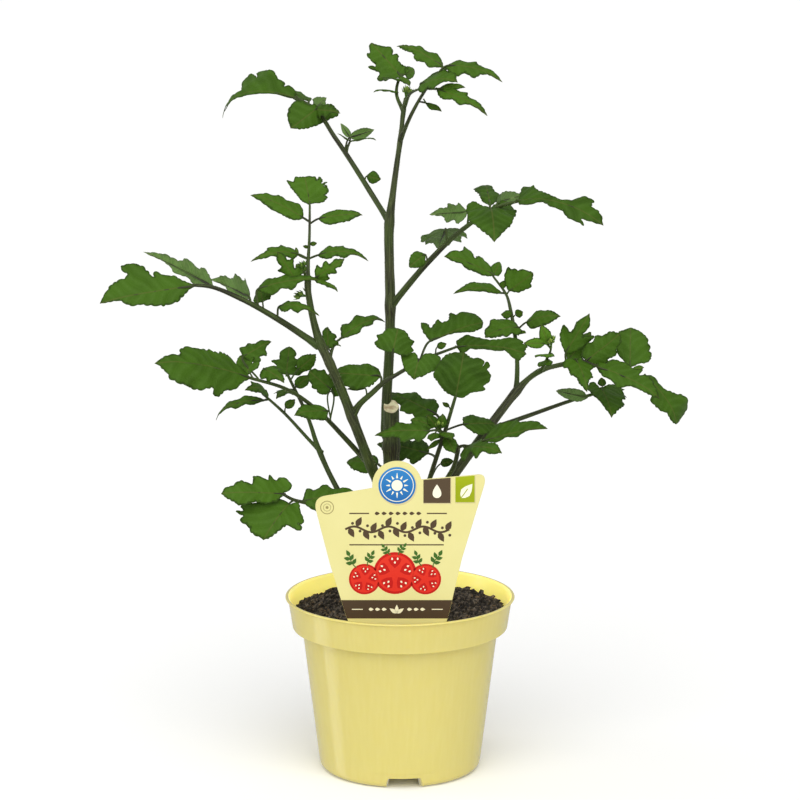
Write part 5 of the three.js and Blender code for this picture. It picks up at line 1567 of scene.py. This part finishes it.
def build_stems(settings):
    """The stems: the cut main stem and the four shoots that grow from it, each with its down."""
    draw = random.Random(SEED + 1)
    skins = [
        downy_stem("tomato_stem_skin", settings.colour, settings.shade, settings.green),
        cut_pith(),
        plant_down(),
    ]
    for stem in STEMS:
        shell = Shell()
        path = list(stem["path"])
        if stem["name"] == "main_stem":
            path[-1] = [path[-1][0], path[-1][1], CUT_MIDDLE]
        thick = stem["radii"][0] > THICK_STEM
        sides = 24 if thick else 16
        joints = joints_of(stem["name"], STEMS + LEAVES)
        rings = stem_rings(shell, path, stem["radii"], joints, 1.2, sides, foot_swell=0 if thick else 0.25)
        if stem["name"] == "main_stem":
            for i, (x, y, z) in enumerate(shell.points):
                share = max(0, 1 - (CUT_MIDDLE * MM - z) / (CUT_BEND * MM))
                shell.points[i] = (x, y, z + min(1, share) * y * math.tan(CUT_SLOPE))
            top = shell.points[-1]
            shell.points[-1] = (top[0], top[1], top[2] - CUT_HOLLOW * MM)
            shell.finishes[-sides:] = [1] * sides
        down(shell, rings, settings.hairs_per_mm * (1.6 if thick else 1), settings.hair_length, draw, 2)
        shell.piece(stem["name"] + "_skin", skins, "stem_skin", 55, [stem["name"]])


# The edge of a leaflet. Between its notches lie scallops, whose depth is a share of the distance between two
# notches and at most a share of the half width. They fade out over a share of the edge at its two ends.
NOTCH_PITCH, NOTCH_SPREAD = (1.9, 3.8), (0.6, 1.5)  # distance on a short and on a long leaflet, in mm
SHORT_LEAFLET, LONG_LEAFLET = 10, 50
SCALLOP_DEPTH, SCALLOP_LIMIT, SCALLOP_SPREAD = 0.17, 0.08, (0.1, 1.3)
SCALLOP_LEAN, SCALLOP_FULLNESS = 1.3, 2.5
SMOOTH_FOOT, SMOOTH_TIP = 0.1, 0.06

# The relief of a leaflet's blade.
LARGE_LEAFLET = 16  # length in mm from which a leaflet gets uneven ground, and wider triangles
WIDE_TRIANGLES, FINE_TRIANGLES = 1.15, 0.75  # distance between their corners, in mm
ROW_SHARE, BORDER_SHARE = 0.866, 0.45  # distance of their rows, and from the border, as shares of that
UNEVENNESS = 0.5  # height of the uneven ground, in mm
VEIN_PAIRS, VEIN_DISTANCE = (3, 7), 6  # fewest and most pairs of side veins, and their usual distance in mm
VEIN_SLANT = 0.75  # how far a side vein runs forwards for each mm that it runs outwards
QUILT_HEIGHT, QUILT_DROP = 0.06, 0.6  # height as a share of the veins' distance, and how deep the veins lie
GROOVE_DEPTH, GROOVE_WIDTH = 0.35, 0.8  # the groove along the midrib, in mm
WAVE_HEIGHT, WAVE_SHARE = 1.1, 0.09  # the margin's waves: at most so many mm, or so much of the half width
WAVE_VEINS = 2.3  # how many side veins one wave takes up
TIP_DROOP, TIP_START = 0.05, 0.7  # how far the tip hangs, as a share of the length, and from where

# The rib below a leaflet, which gets thinner from knot to knot.
RIB_PLACES = (0.2, 0.45, 0.7, 0.92)
RIB_TAPER = (1.12, 1, 0.75, 0.5, 0.33, 0.2)
RIB_THINNEST, RIB_THICKEST, RIB_GROWTH = 0.32, 0.7, 0.008  # radii in mm, and the growth for each mm of length


def leaf_edge(side, half, length, way, draw):
    """One edge of a leaflet from base to tip, in mm: its lobes, with uneven scallops between notches."""
    knots = [Vector((0, way * 0.6, 0))]
    knots += [Vector((t / 100 * length, way * w / 100 * half, 0)) for t, w in side]
    knots.append(Vector((length, 0, 0)))
    route = [place for place, _ in smooth_route(knots, 0.4)]
    walks = [0]
    for near, far in zip(route, route[1:]):
        walks.append(walks[-1] + (far - near).length)
    total = walks[-1]
    long_share = (length - SHORT_LEAFLET) / (LONG_LEAFLET - SHORT_LEAFLET)
    pitch = blend(*NOTCH_PITCH, min(1, max(0, long_share)))
    notches, depths = [0], []
    while notches[-1] < total:
        notches.append(notches[-1] + pitch * draw.uniform(*NOTCH_SPREAD))
        depth = min(SCALLOP_DEPTH * pitch, SCALLOP_LIMIT * half)
        depths.append(depth * draw.uniform(*SCALLOP_SPREAD))
    edge, arch = [], 0
    for i, (place, walk) in enumerate(zip(route, walks)):
        while walk > notches[arch + 1]:
            arch += 1
        run = (route[min(len(route) - 1, i + 1)] - route[max(0, i - 1)]).normalized()
        phase = (walk - notches[arch]) / (notches[arch + 1] - notches[arch])
        rise = depths[arch] * (1 - abs(2 * phase**SCALLOP_LEAN - 1) ** SCALLOP_FULLNESS)
        rise *= min(1, walk / (SMOOTH_FOOT * total), (total - walk) / (SMOOTH_TIP * total))
        edge.append((place.x - run.y * way * rise, place.y + run.x * way * rise))
    return edge


def leaf_sheet(outline, spacing):
    """Triangles that fill a flat outline, with points inside it spacing apart: (points, faces, edges)."""
    border = np.array(outline)
    low, high = border.min(0), border.max(0)
    rows = np.arange(low[1], high[1], spacing * ROW_SHARE)
    grid = np.array([
        (x + (i % 2) * spacing / 2, y)
        for i, y in enumerate(rows) for x in np.arange(low[0], high[0], spacing)
    ])
    after = np.roll(border, -1, 0)
    x, y = grid[:, :1], grid[:, 1:]
    crosses = (border[:, 1] > y) != (after[:, 1] > y)
    rise = np.where(after[:, 1] == border[:, 1], 1, after[:, 1] - border[:, 1])
    meets = border[:, 0] + (y - border[:, 1]) / rise * (after[:, 0] - border[:, 0])
    inside = (crosses & (x < meets)).sum(1) % 2 == 1
    clear = np.hypot(x - border[:, 0], y - border[:, 1]).min(1) > spacing * BORDER_SHARE
    places = [Vector(p) for p in outline] + [Vector(p) for p in grid[inside & clear]]
    points, _, faces, *_ = delaunay_2d_cdt(places, [], [list(range(len(outline)))], 1, 1e-7)
    turned_up = []
    for a, b, c in faces:
        up = (points[b] - points[a]).cross(points[c] - points[a]) > 0
        turned_up.append((a, b, c) if up else (a, c, b))
    directed = {(face[i], face[(i + 1) % 3]) for face in turned_up for i in range(3)}
    edges = [(a, b) for a, b in sorted(directed) if (b, a) not in directed]
    return np.array([tuple(p) for p in points]), turned_up, edges


def leaflet(shell, row, route, age, number, settings):
    """Adds a stalked leaflet: a quilted blade, and its stalk, which runs on as the rib below the blade."""
    outline, base, tip, (right_half, left_half), facing, arch, fold = row[:7]
    base, tip = Vector(base), Vector(tip)
    length = (tip - base).length
    along = (tip - base).normalized()
    look = Vector(FACINGS[facing])
    up = (look - along * look.dot(along)).normalized()
    across = up.cross(along)
    slope = math.radians(fold)
    half = max(right_half, left_half)
    draw = random.Random(number)
    right = leaf_edge(OUTLINES[outline][0], right_half, length, -1, draw)
    left = leaf_edge(OUTLINES[outline][1], left_half, length, 1, draw)
    large = length > LARGE_LEAFLET
    flat, faces, edges = leaf_sheet(right + left[-2::-1], WIDE_TRIANGLES if large else FINE_TRIANGLES)
    rim = {spot for edge in edges for spot in edge}

    pairs = min(VEIN_PAIRS[1], max(VEIN_PAIRS[0], round(length / VEIN_DISTANCE)))
    spacing = length / (pairs + 0.5)

    def surface(a, w, seed=number * 7.3):
        t = np.clip(a / length, 0, 1)
        side = np.abs(w)
        reach = np.minimum(side / half, 1.1)
        lift = arch * 4 * t * (1 - t) - (np.sqrt(w**2 + 1) - 1) * math.sin(slope)
        vein = (a - VEIN_SLANT * side + 0.9 * np.sin(a * 0.31 + side * 0.23 + seed)) / spacing + 0.3 * (w > 0)
        quilt = np.abs(np.sin(np.pi * vein)) ** 0.7 - QUILT_DROP
        lift = lift + QUILT_HEIGHT * spacing * quilt * np.clip(side / 2, 0, 1)
        lift = lift - GROOVE_DEPTH * np.exp(-((w / GROOVE_WIDTH) ** 2))
        wave = np.sin(math.tau * a / (WAVE_VEINS * spacing) + seed + (w > 0) * 1.7)
        lift = lift + min(WAVE_HEIGHT, WAVE_SHARE * half) * wave * reach**2
        lift = lift - settings.curl * half * reach**2
        lift = lift - TIP_DROOP * length * np.clip((t - TIP_START) / 0.3, 0, 1) ** 2
        return lift, vein

    lift, vein = surface(flat[:, 0], flat[:, 1])
    spots, marks = [], []
    tone = age + draw.uniform(-0.1, 0.1)
    for i, ((a, w), rise, chevron) in enumerate(zip(flat, lift, vein)):
        rough = UNEVENNESS * noise.noise(Vector((a * 0.16, w * 0.16, number))) if large else 0
        spots.append(base + along * a + across * (w * math.cos(slope)) + up * (rise + rough))
        marks.append((chevron, w, -1 if i in rim else tone))
    count = len(spots)
    half_thick = up * (settings.thickness / MM / 2)
    shell.add([from_mm(p + half_thick) for p in spots], faces, 0, marks)
    start = len(shell.points)
    shell.add([from_mm(p - half_thick) for p in spots], [(a, c, b) for a, b, c in faces], 1, marks)
    top = start - count
    for a, b in edges:
        shell.faces.append([top + a, start + a, start + b, top + b])
        shell.finishes.append(0)

    foot = Vector(row[7]) if len(row) > 7 else foot_on(route, base)
    thick = min(RIB_THICKEST, RIB_THINNEST + RIB_GROWTH * length)
    if (base - foot).length < 1:
        foot = base - along
    ribs = [foot, base]
    rises, _ = surface(np.array(RIB_PLACES) * length, np.zeros(len(RIB_PLACES)))
    for share, rise in zip(RIB_PLACES, rises):
        ribs.append(base + along * share * length + up * (rise - thick * (1 - share) * 0.7))
    stalk = smooth_route([from_mm(p) for p in ribs], 1.3 * MM)
    radii = [thick * MM * RIB_TAPER[min(len(RIB_TAPER) - 1, int(knot))] for _, knot in stalk]
    tube(shell, [p for p, _ in stalk], radii, 8, 2, dome=0.4)


def foot_on(route, base):
    """Where a leaflet's stalk leaves the midrib: a little nearer to the root than the leaflet's base is."""
    gaps = [(place - base).length for place in route]
    nearest = gaps.index(min(gaps))
    foot = nearest
    while foot > 0 and (route[foot] - route[nearest]).length < gaps[nearest] * 0.5:
        foot -= 1
    return route[foot]


def build_leaves(settings, stem_settings):
    """The compound leaves, each one piece: a ribbed midrib with its stalked leaflets."""
    draw = random.Random(SEED + 2)
    young, pale = settings.young, linear("#83945c")
    skins = [
        living_leaf(
            "tomato_leaf_upper_skin", settings.colour, young, settings.vein, linear("#5a5a2c"),
            vein_share=0.07, sheen=0,
        ),
        living_leaf(
            "tomato_leaf_underside", settings.underside, young, pale, pale, vein_share=0.3, sheen=0.04,
        ),
        downy_stem("tomato_leaf_stalk_skin", stem_settings.stalk, stem_settings.shade, stem_settings.green),
        plant_down(),
    ]
    number = 0
    for leaf in LEAVES:
        shell = Shell()
        age = AGES.get(leaf["name"], USUAL_AGE)
        path = leaf["path"]
        joints = joints_of(leaf["name"], LEAVES)
        rings = stem_rings(shell, path, leaf["radii"], joints, 1.3, 12, 2, foot_swell=0.3)
        down(shell, rings, stem_settings.hairs_per_mm * 0.6, stem_settings.hair_length * 0.8, draw, 3)
        route = [place / MM for place, _ in smooth_route([from_mm(p) for p in path], 0.6 * MM)]
        for row in leaf["leaflets"]:
            number += 1
            leaflet(shell, row, route, age, number, settings)
        name = leaf["name"].replace("leaf_", "compound_leaf_")
        shell.piece(name, skins, "leaf_skin", 62, [leaf["name"]])


# Parts of a bud, as multiples of its size.
BUD_STALK, BUD_LENGTH, BUD_RADIUS = 3, 1.9, 0.8

# Flower buds and unopened shoot tips, in millimetres: the foot, the way they grow, and their count and size.
BUD_CLUSTERS = [
    ((3, 4, 380), (0.1, -0.2, 1), 5, 1.5),
    ((-50, -21.5, 274), (-0.5, -0.2, 0.1), 4, 1.6),
    ((21.5, -26, 200.5), (0, -0.3, 1), 4, 1.4),
    ((85, 9, 241), (0, -0.3, 1), 5, 1.4),
    ((-52.5, -26, 288.5), (0, -0.2, 1), 3, 1.2),
]


def bud(shell, foot, way, size):
    """Adds a closed bud on its stalk: a teardrop held by five narrow sepals."""
    reach = size * BUD_STALK
    stalk = [foot + way * reach * t for t in (-0.2, 0.3, 0.7, 1)]
    tube(shell, [from_mm(p) for p in stalk], [0.3 * MM, 0.28 * MM, 0.3 * MM, 0.45 * MM], 6, 1)
    bottom = foot + way * reach
    swells = ((0, 0.4), (0.12, 0.75), (0.35, 1), (0.65, 0.88), (0.9, 0.5), (1.1, 0.2))
    centres = [from_mm(bottom + way * size * BUD_LENGTH * t) for t, _ in swells]
    tube(shell, centres, [size * BUD_RADIUS * r * MM for _, r in swells], 10, 0, ridges=5, ridge_depth=0.08)
    side = way.orthogonal().normalized()
    other = way.cross(side)
    for k in range(5):
        out = side * math.cos(k * math.tau / 5) + other * math.sin(k * math.tau / 5)
        curve = ((0.2, 0), (0.85, 0.35), (1.05, 1.2), (1.15, 2.2))
        spots = [bottom + out * size * a + way * size * b for a, b in curve]
        tube(shell, [from_mm(p) for p in spots], [0.3 * MM, 0.34 * MM, 0.26 * MM, 0.08 * MM], 5, 1, dome=0.3)


def build_buds(settings):
    """The flower buds in their clusters at the tips of the shoots."""
    draw = random.Random(SEED + 3)
    shell = Shell()
    for foot, way, count, size in BUD_CLUSTERS:
        middle = Vector(way).normalized()
        for k in range(count):
            spread = Vector((draw.uniform(-1, 1), draw.uniform(-1, 1), draw.uniform(-0.4, 0.8)))
            bud(shell, Vector(foot), (middle + spread * 0.75).normalized(), size * draw.uniform(0.75, 1.1))
    bud_skin = downy_stem("flower_bud_skin", settings.young, settings.colour, linear("#a9bf55"))
    sepal = downy_stem("flower_sepal_skin", settings.colour, settings.colour, settings.young)
    shell.piece("flower_buds", [bud_skin, sepal], "leaf_skin", 60)


# ---------------------------------------------------------------------------
# Studio
# ---------------------------------------------------------------------------


def add_light(name, kind, place, aim, strength):
    """Adds a studio light of the kind, at its place and turned to face a point."""
    data = bpy.data.lights.new(name, kind)
    data.energy = strength
    light = bpy.data.objects.new(name, data)
    light.location = place
    light.rotation_euler = (Vector(aim) - Vector(place)).to_track_quat("-Z", "Y").to_euler()
    bpy.context.scene.collection.objects.link(light)
    return light


def build_studio(settings):
    """The pale floor, the soft lights and the camera at the photograph's angle."""
    shell = Shell()
    sides, reach = 96, settings.floor_radius
    turns = [k / sides * math.tau for k in range(sides)]
    rim = [Vector((math.cos(turn), math.sin(turn), 0)) * reach for turn in turns]
    shell.add([*rim, Vector((0, 0, 0))], [(k, (k + 1) % sides, sides) for k in range(sides)])
    mesh = bpy.data.meshes.new("studio_floor")
    mesh.from_pydata(shell.points, [], shell.faces)
    mesh.materials.append(studio_paper(settings.floor_colour))
    floor = bpy.data.objects.new("studio_floor", mesh)
    bpy.context.scene.collection.objects.link(floor)
    floor.visible_glossy = False

    world = bpy.data.worlds.new("soft_room")
    world.use_nodes = True
    backdrop = world.node_tree.nodes["Background"]
    backdrop.inputs["Color"].default_value = (1, 1, 1, 1)
    backdrop.inputs["Strength"].default_value = settings.room_light
    scene = bpy.context.scene
    scene.world = world
    scene.view_settings.view_transform = "Standard"

    key = add_light("key_light", "SUN", (0.05, -1.3, 1.2), (0, 0, 0), settings.key_light)
    key.data.angle = math.radians(75)
    # The strip runs on below the floor, so that its reflection runs down the whole pot.
    strip = add_light("left_strip", "AREA", (-1.2, 0.12, 0.1), (0, 0, 0.1), settings.strip_power)
    strip.data.shape = "RECTANGLE"
    strip.data.size, strip.data.size_y = 0.4, 2.4
    strip.visible_camera = False

    data = bpy.data.cameras.new("photo_camera")
    data.sensor_width = 36
    data.lens = settings.lens
    camera = bpy.data.objects.new("photo_camera", data)
    camera.location = (0, -settings.camera_distance, settings.camera_height)
    camera.rotation_euler = (math.pi / 2 - settings.camera_pitch, 0, 0)
    scene.collection.objects.link(camera)
    scene.camera = camera


# ---------------------------------------------------------------------------
# Settings, one group for each operator
# ---------------------------------------------------------------------------


def length_setting(name, description, default, **limits):
    """A length that the user can set, in metres."""
    return FloatProperty(name=name, description=description, default=default, unit="LENGTH", **limits)


def colour_setting(name, description, code):
    """A colour that the user can set, from its sRGB hex value."""
    return FloatVectorProperty(
        name=name, description=description, default=linear(code), size=3, subtype="COLOR", min=0, max=1,
    )


class PotSettings(bpy.types.PropertyGroup):
    """Sizes and colours of the pot."""

    rim_radius: length_setting("Rim radius", "Outer radius of the lip", POT_HIGH.x, min=0.02)
    height: length_setting("Height", "Height of the lip's top above the floor", POT_HIGH.z, min=0.02)
    notch_width: length_setting(
        "Notch width", "Width of each drainage notch in the foot ring", 20.8 * MM, min=0.002, max=0.03,
    )
    notch_count: IntProperty(
        name="Notches", description="How many notches the foot ring has", default=3, min=1,
    )
    colour: colour_setting("Plastic", "Colour of the plastic", "#d0c373")
    streaks: colour_setting("Streaks", "Colour of its paler streaks", "#d6cb84")
    # The inside colour is painted light: paler than the plastic, for the daylight that comes through the
    # wall.
    inside: colour_setting("Inside", "Colour of the wall's backlit inside", "#fde98a")


class SoilSettings(bpy.types.PropertyGroup):
    """Texture and colours of the compost."""

    crumb_count: IntProperty(
        name="Crumbs", description="How many loose crumbs lie on top", default=2000, min=0,
    )
    crumb_size: length_setting("Largest crumb", "Width of the largest crumbs", 5.5 * MM, min=0.001, max=0.008)
    fibre_count: IntProperty(name="Fibres", description="How many dry fibres lie on top", default=60, min=0)
    colour: colour_setting("Peat", "Colour of the damp peat", "#231e18")
    light: colour_setting("Dry peat", "Colour of the drier crumbs", "#86796a")


class LabelSettings(bpy.types.PropertyGroup):
    """Thickness and main colours of the plant label."""

    thickness: length_setting("Thickness", "Thickness of the card", 0.8 * MM, min=0.0004, max=0.002)
    card: colour_setting("Card", "Colour of the bare card", "#d3cb82")
    badge: colour_setting("Badge", "Colour of the round badge", "#1f609f")
    foot: colour_setting("Foot band", "Colour of the band along the card's foot", "#463727")


class StemSettings(bpy.types.PropertyGroup):
    """Colours and down of the stems."""

    colour: colour_setting("Skin", "Main colour of the stems", "#4a4f2e")
    shade: colour_setting("Skin shade", "Darker streaks of the stems", "#211f13")
    green: colour_setting("Green", "Greener stretches of the stems", "#3e5618")
    stalk: colour_setting("Stalk", "Main colour of the leaf stalks", "#3f4d20")
    hairs_per_mm: FloatProperty(
        name="Hairs per mm", description="Hairs for each mm of stem", default=6, min=0,
    )
    hair_length: length_setting("Hair length", "Mean length of the hairs", 0.9 * MM, min=0, max=0.003)


class LeafSettings(bpy.types.PropertyGroup):
    """Thickness, set and colours of the leaves."""

    thickness: length_setting("Thickness", "Thickness of a leaflet's blade", 0.32 * MM, min=0.0001, max=0.001)
    curl: FloatProperty(
        name="Curl", description="How far the margins bend down, as a share", default=0.12, max=0.4,
    )
    colour: colour_setting("Upper skin", "Colour of a full-grown leaf from above", "#324f0e")
    young: colour_setting("Young leaf", "Colour of a leaf that has just opened", "#527a1e")
    underside: colour_setting("Underside", "Colour of a leaf from below", "#56733c")
    # The vein colour also paints the light on the bulges between the veins.
    vein: colour_setting("Veins", "Colour of the veins from above", "#5d7d3a")


class StudioSettings(bpy.types.PropertyGroup):
    """Floor, lights and camera."""

    floor_radius: length_setting("Floor radius", "How far the floor runs", 30, min=1)
    floor_colour: colour_setting("Floor", "Colour of the floor", "#fbfbfa")
    room_light: FloatProperty(
        name="Room light", description="Strength of the even light", default=0.56, min=0,
    )
    key_light: FloatProperty(name="Key light", description="Strength of the key light", default=2.35, min=0)
    strip_power: FloatProperty(
        name="Strip light", description="Power of the left strip", default=5, unit="POWER",
    )
    camera_distance: length_setting("Camera distance", "How far in front of the pot the camera stands", 1.45)
    camera_height: length_setting("Camera height", "Height of the camera above the floor", 0.48)
    camera_pitch: FloatProperty(
        name="Camera pitch", description="How far the camera looks down", default=math.radians(10.46),
        subtype="ANGLE",
    )
    lens: FloatProperty(
        name="Lens", description="Focal length in mm, for a sensor 36 mm wide", default=118.44,
    )


# ---------------------------------------------------------------------------
# Operators and panel
# ---------------------------------------------------------------------------


class PLANT_OT_pot(bpy.types.Operator):
    """Add the nursery pot"""

    bl_idname = "plant.add_pot"
    bl_label = "Pot"

    def execute(self, context):
        build_pot(context.scene.plant_pot)
        return {"FINISHED"}


class PLANT_OT_soil(bpy.types.Operator):
    """Add the compost with its crumbs and fibres"""

    bl_idname = "plant.add_soil"
    bl_label = "Compost"

    def execute(self, context):
        build_soil(context.scene.plant_soil)
        return {"FINISHED"}


class PLANT_OT_label(bpy.types.Operator):
    """Add the stick-in plant label and its print"""

    bl_idname = "plant.add_label"
    bl_label = "Plant label"

    def execute(self, context):
        build_label(context.scene.plant_label)
        return {"FINISHED"}


class PLANT_OT_stems(bpy.types.Operator):
    """Add the cut main stem and its shoots"""

    bl_idname = "plant.add_stems"
    bl_label = "Stems"

    def execute(self, context):
        build_stems(context.scene.plant_stems)
        return {"FINISHED"}


class PLANT_OT_leaves(bpy.types.Operator):
    """Add the compound leaves"""

    bl_idname = "plant.add_leaves"
    bl_label = "Leaves"

    def execute(self, context):
        build_leaves(context.scene.plant_leaves, context.scene.plant_stems)
        return {"FINISHED"}


class PLANT_OT_buds(bpy.types.Operator):
    """Add the flower buds at the shoots' tips"""

    bl_idname = "plant.add_buds"
    bl_label = "Flower buds"

    def execute(self, context):
        build_buds(context.scene.plant_leaves)
        return {"FINISHED"}


class PLANT_OT_studio(bpy.types.Operator):
    """Add the floor, the lights and the camera"""

    bl_idname = "plant.add_studio"
    bl_label = "Studio"

    def execute(self, context):
        build_studio(context.scene.plant_studio)
        return {"FINISHED"}


SETTINGS = {
    "plant_studio": StudioSettings,
    "plant_pot": PotSettings,
    "plant_soil": SoilSettings,
    "plant_label": LabelSettings,
    "plant_stems": StemSettings,
    "plant_leaves": LeafSettings,
}
OPERATORS = [
    PLANT_OT_studio, PLANT_OT_pot, PLANT_OT_soil, PLANT_OT_label, PLANT_OT_stems, PLANT_OT_leaves,
    PLANT_OT_buds,
]


class PLANT_PT_potted_tomato(bpy.types.Panel):
    """Buttons and settings for the potted tomato plant"""

    bl_label = "Potted tomato plant"
    bl_space_type = "VIEW_3D"
    bl_region_type = "UI"
    bl_category = "Tomato plant"

    def draw(self, context):
        for operator in OPERATORS:
            self.layout.operator(operator.bl_idname)
        for name, group in SETTINGS.items():
            box = self.layout.box()
            box.label(text=group.__doc__)
            for setting in group.__annotations__:
                box.prop(getattr(context.scene, name), setting)


def register():
    for group in SETTINGS.values():
        bpy.utils.register_class(group)
    for name, group in SETTINGS.items():
        setattr(bpy.types.Scene, name, PointerProperty(type=group))
    for operator in OPERATORS:
        bpy.utils.register_class(operator)
    bpy.utils.register_class(PLANT_PT_potted_tomato)


def unregister():
    bpy.utils.unregister_class(PLANT_PT_potted_tomato)
    for operator in reversed(OPERATORS):
        bpy.utils.unregister_class(operator)
    for name in SETTINGS:
        delattr(bpy.types.Scene, name)
    for group in reversed(SETTINGS.values()):
        bpy.utils.unregister_class(group)


def main():
    """Builds the whole scene."""
    register()
    bpy.ops.plant.add_studio()
    bpy.ops.plant.add_pot()
    bpy.ops.plant.add_soil()
    bpy.ops.plant.add_label()
    bpy.ops.plant.add_stems()
    bpy.ops.plant.add_leaves()
    bpy.ops.plant.add_buds()


if __name__ == "__main__":
    main()
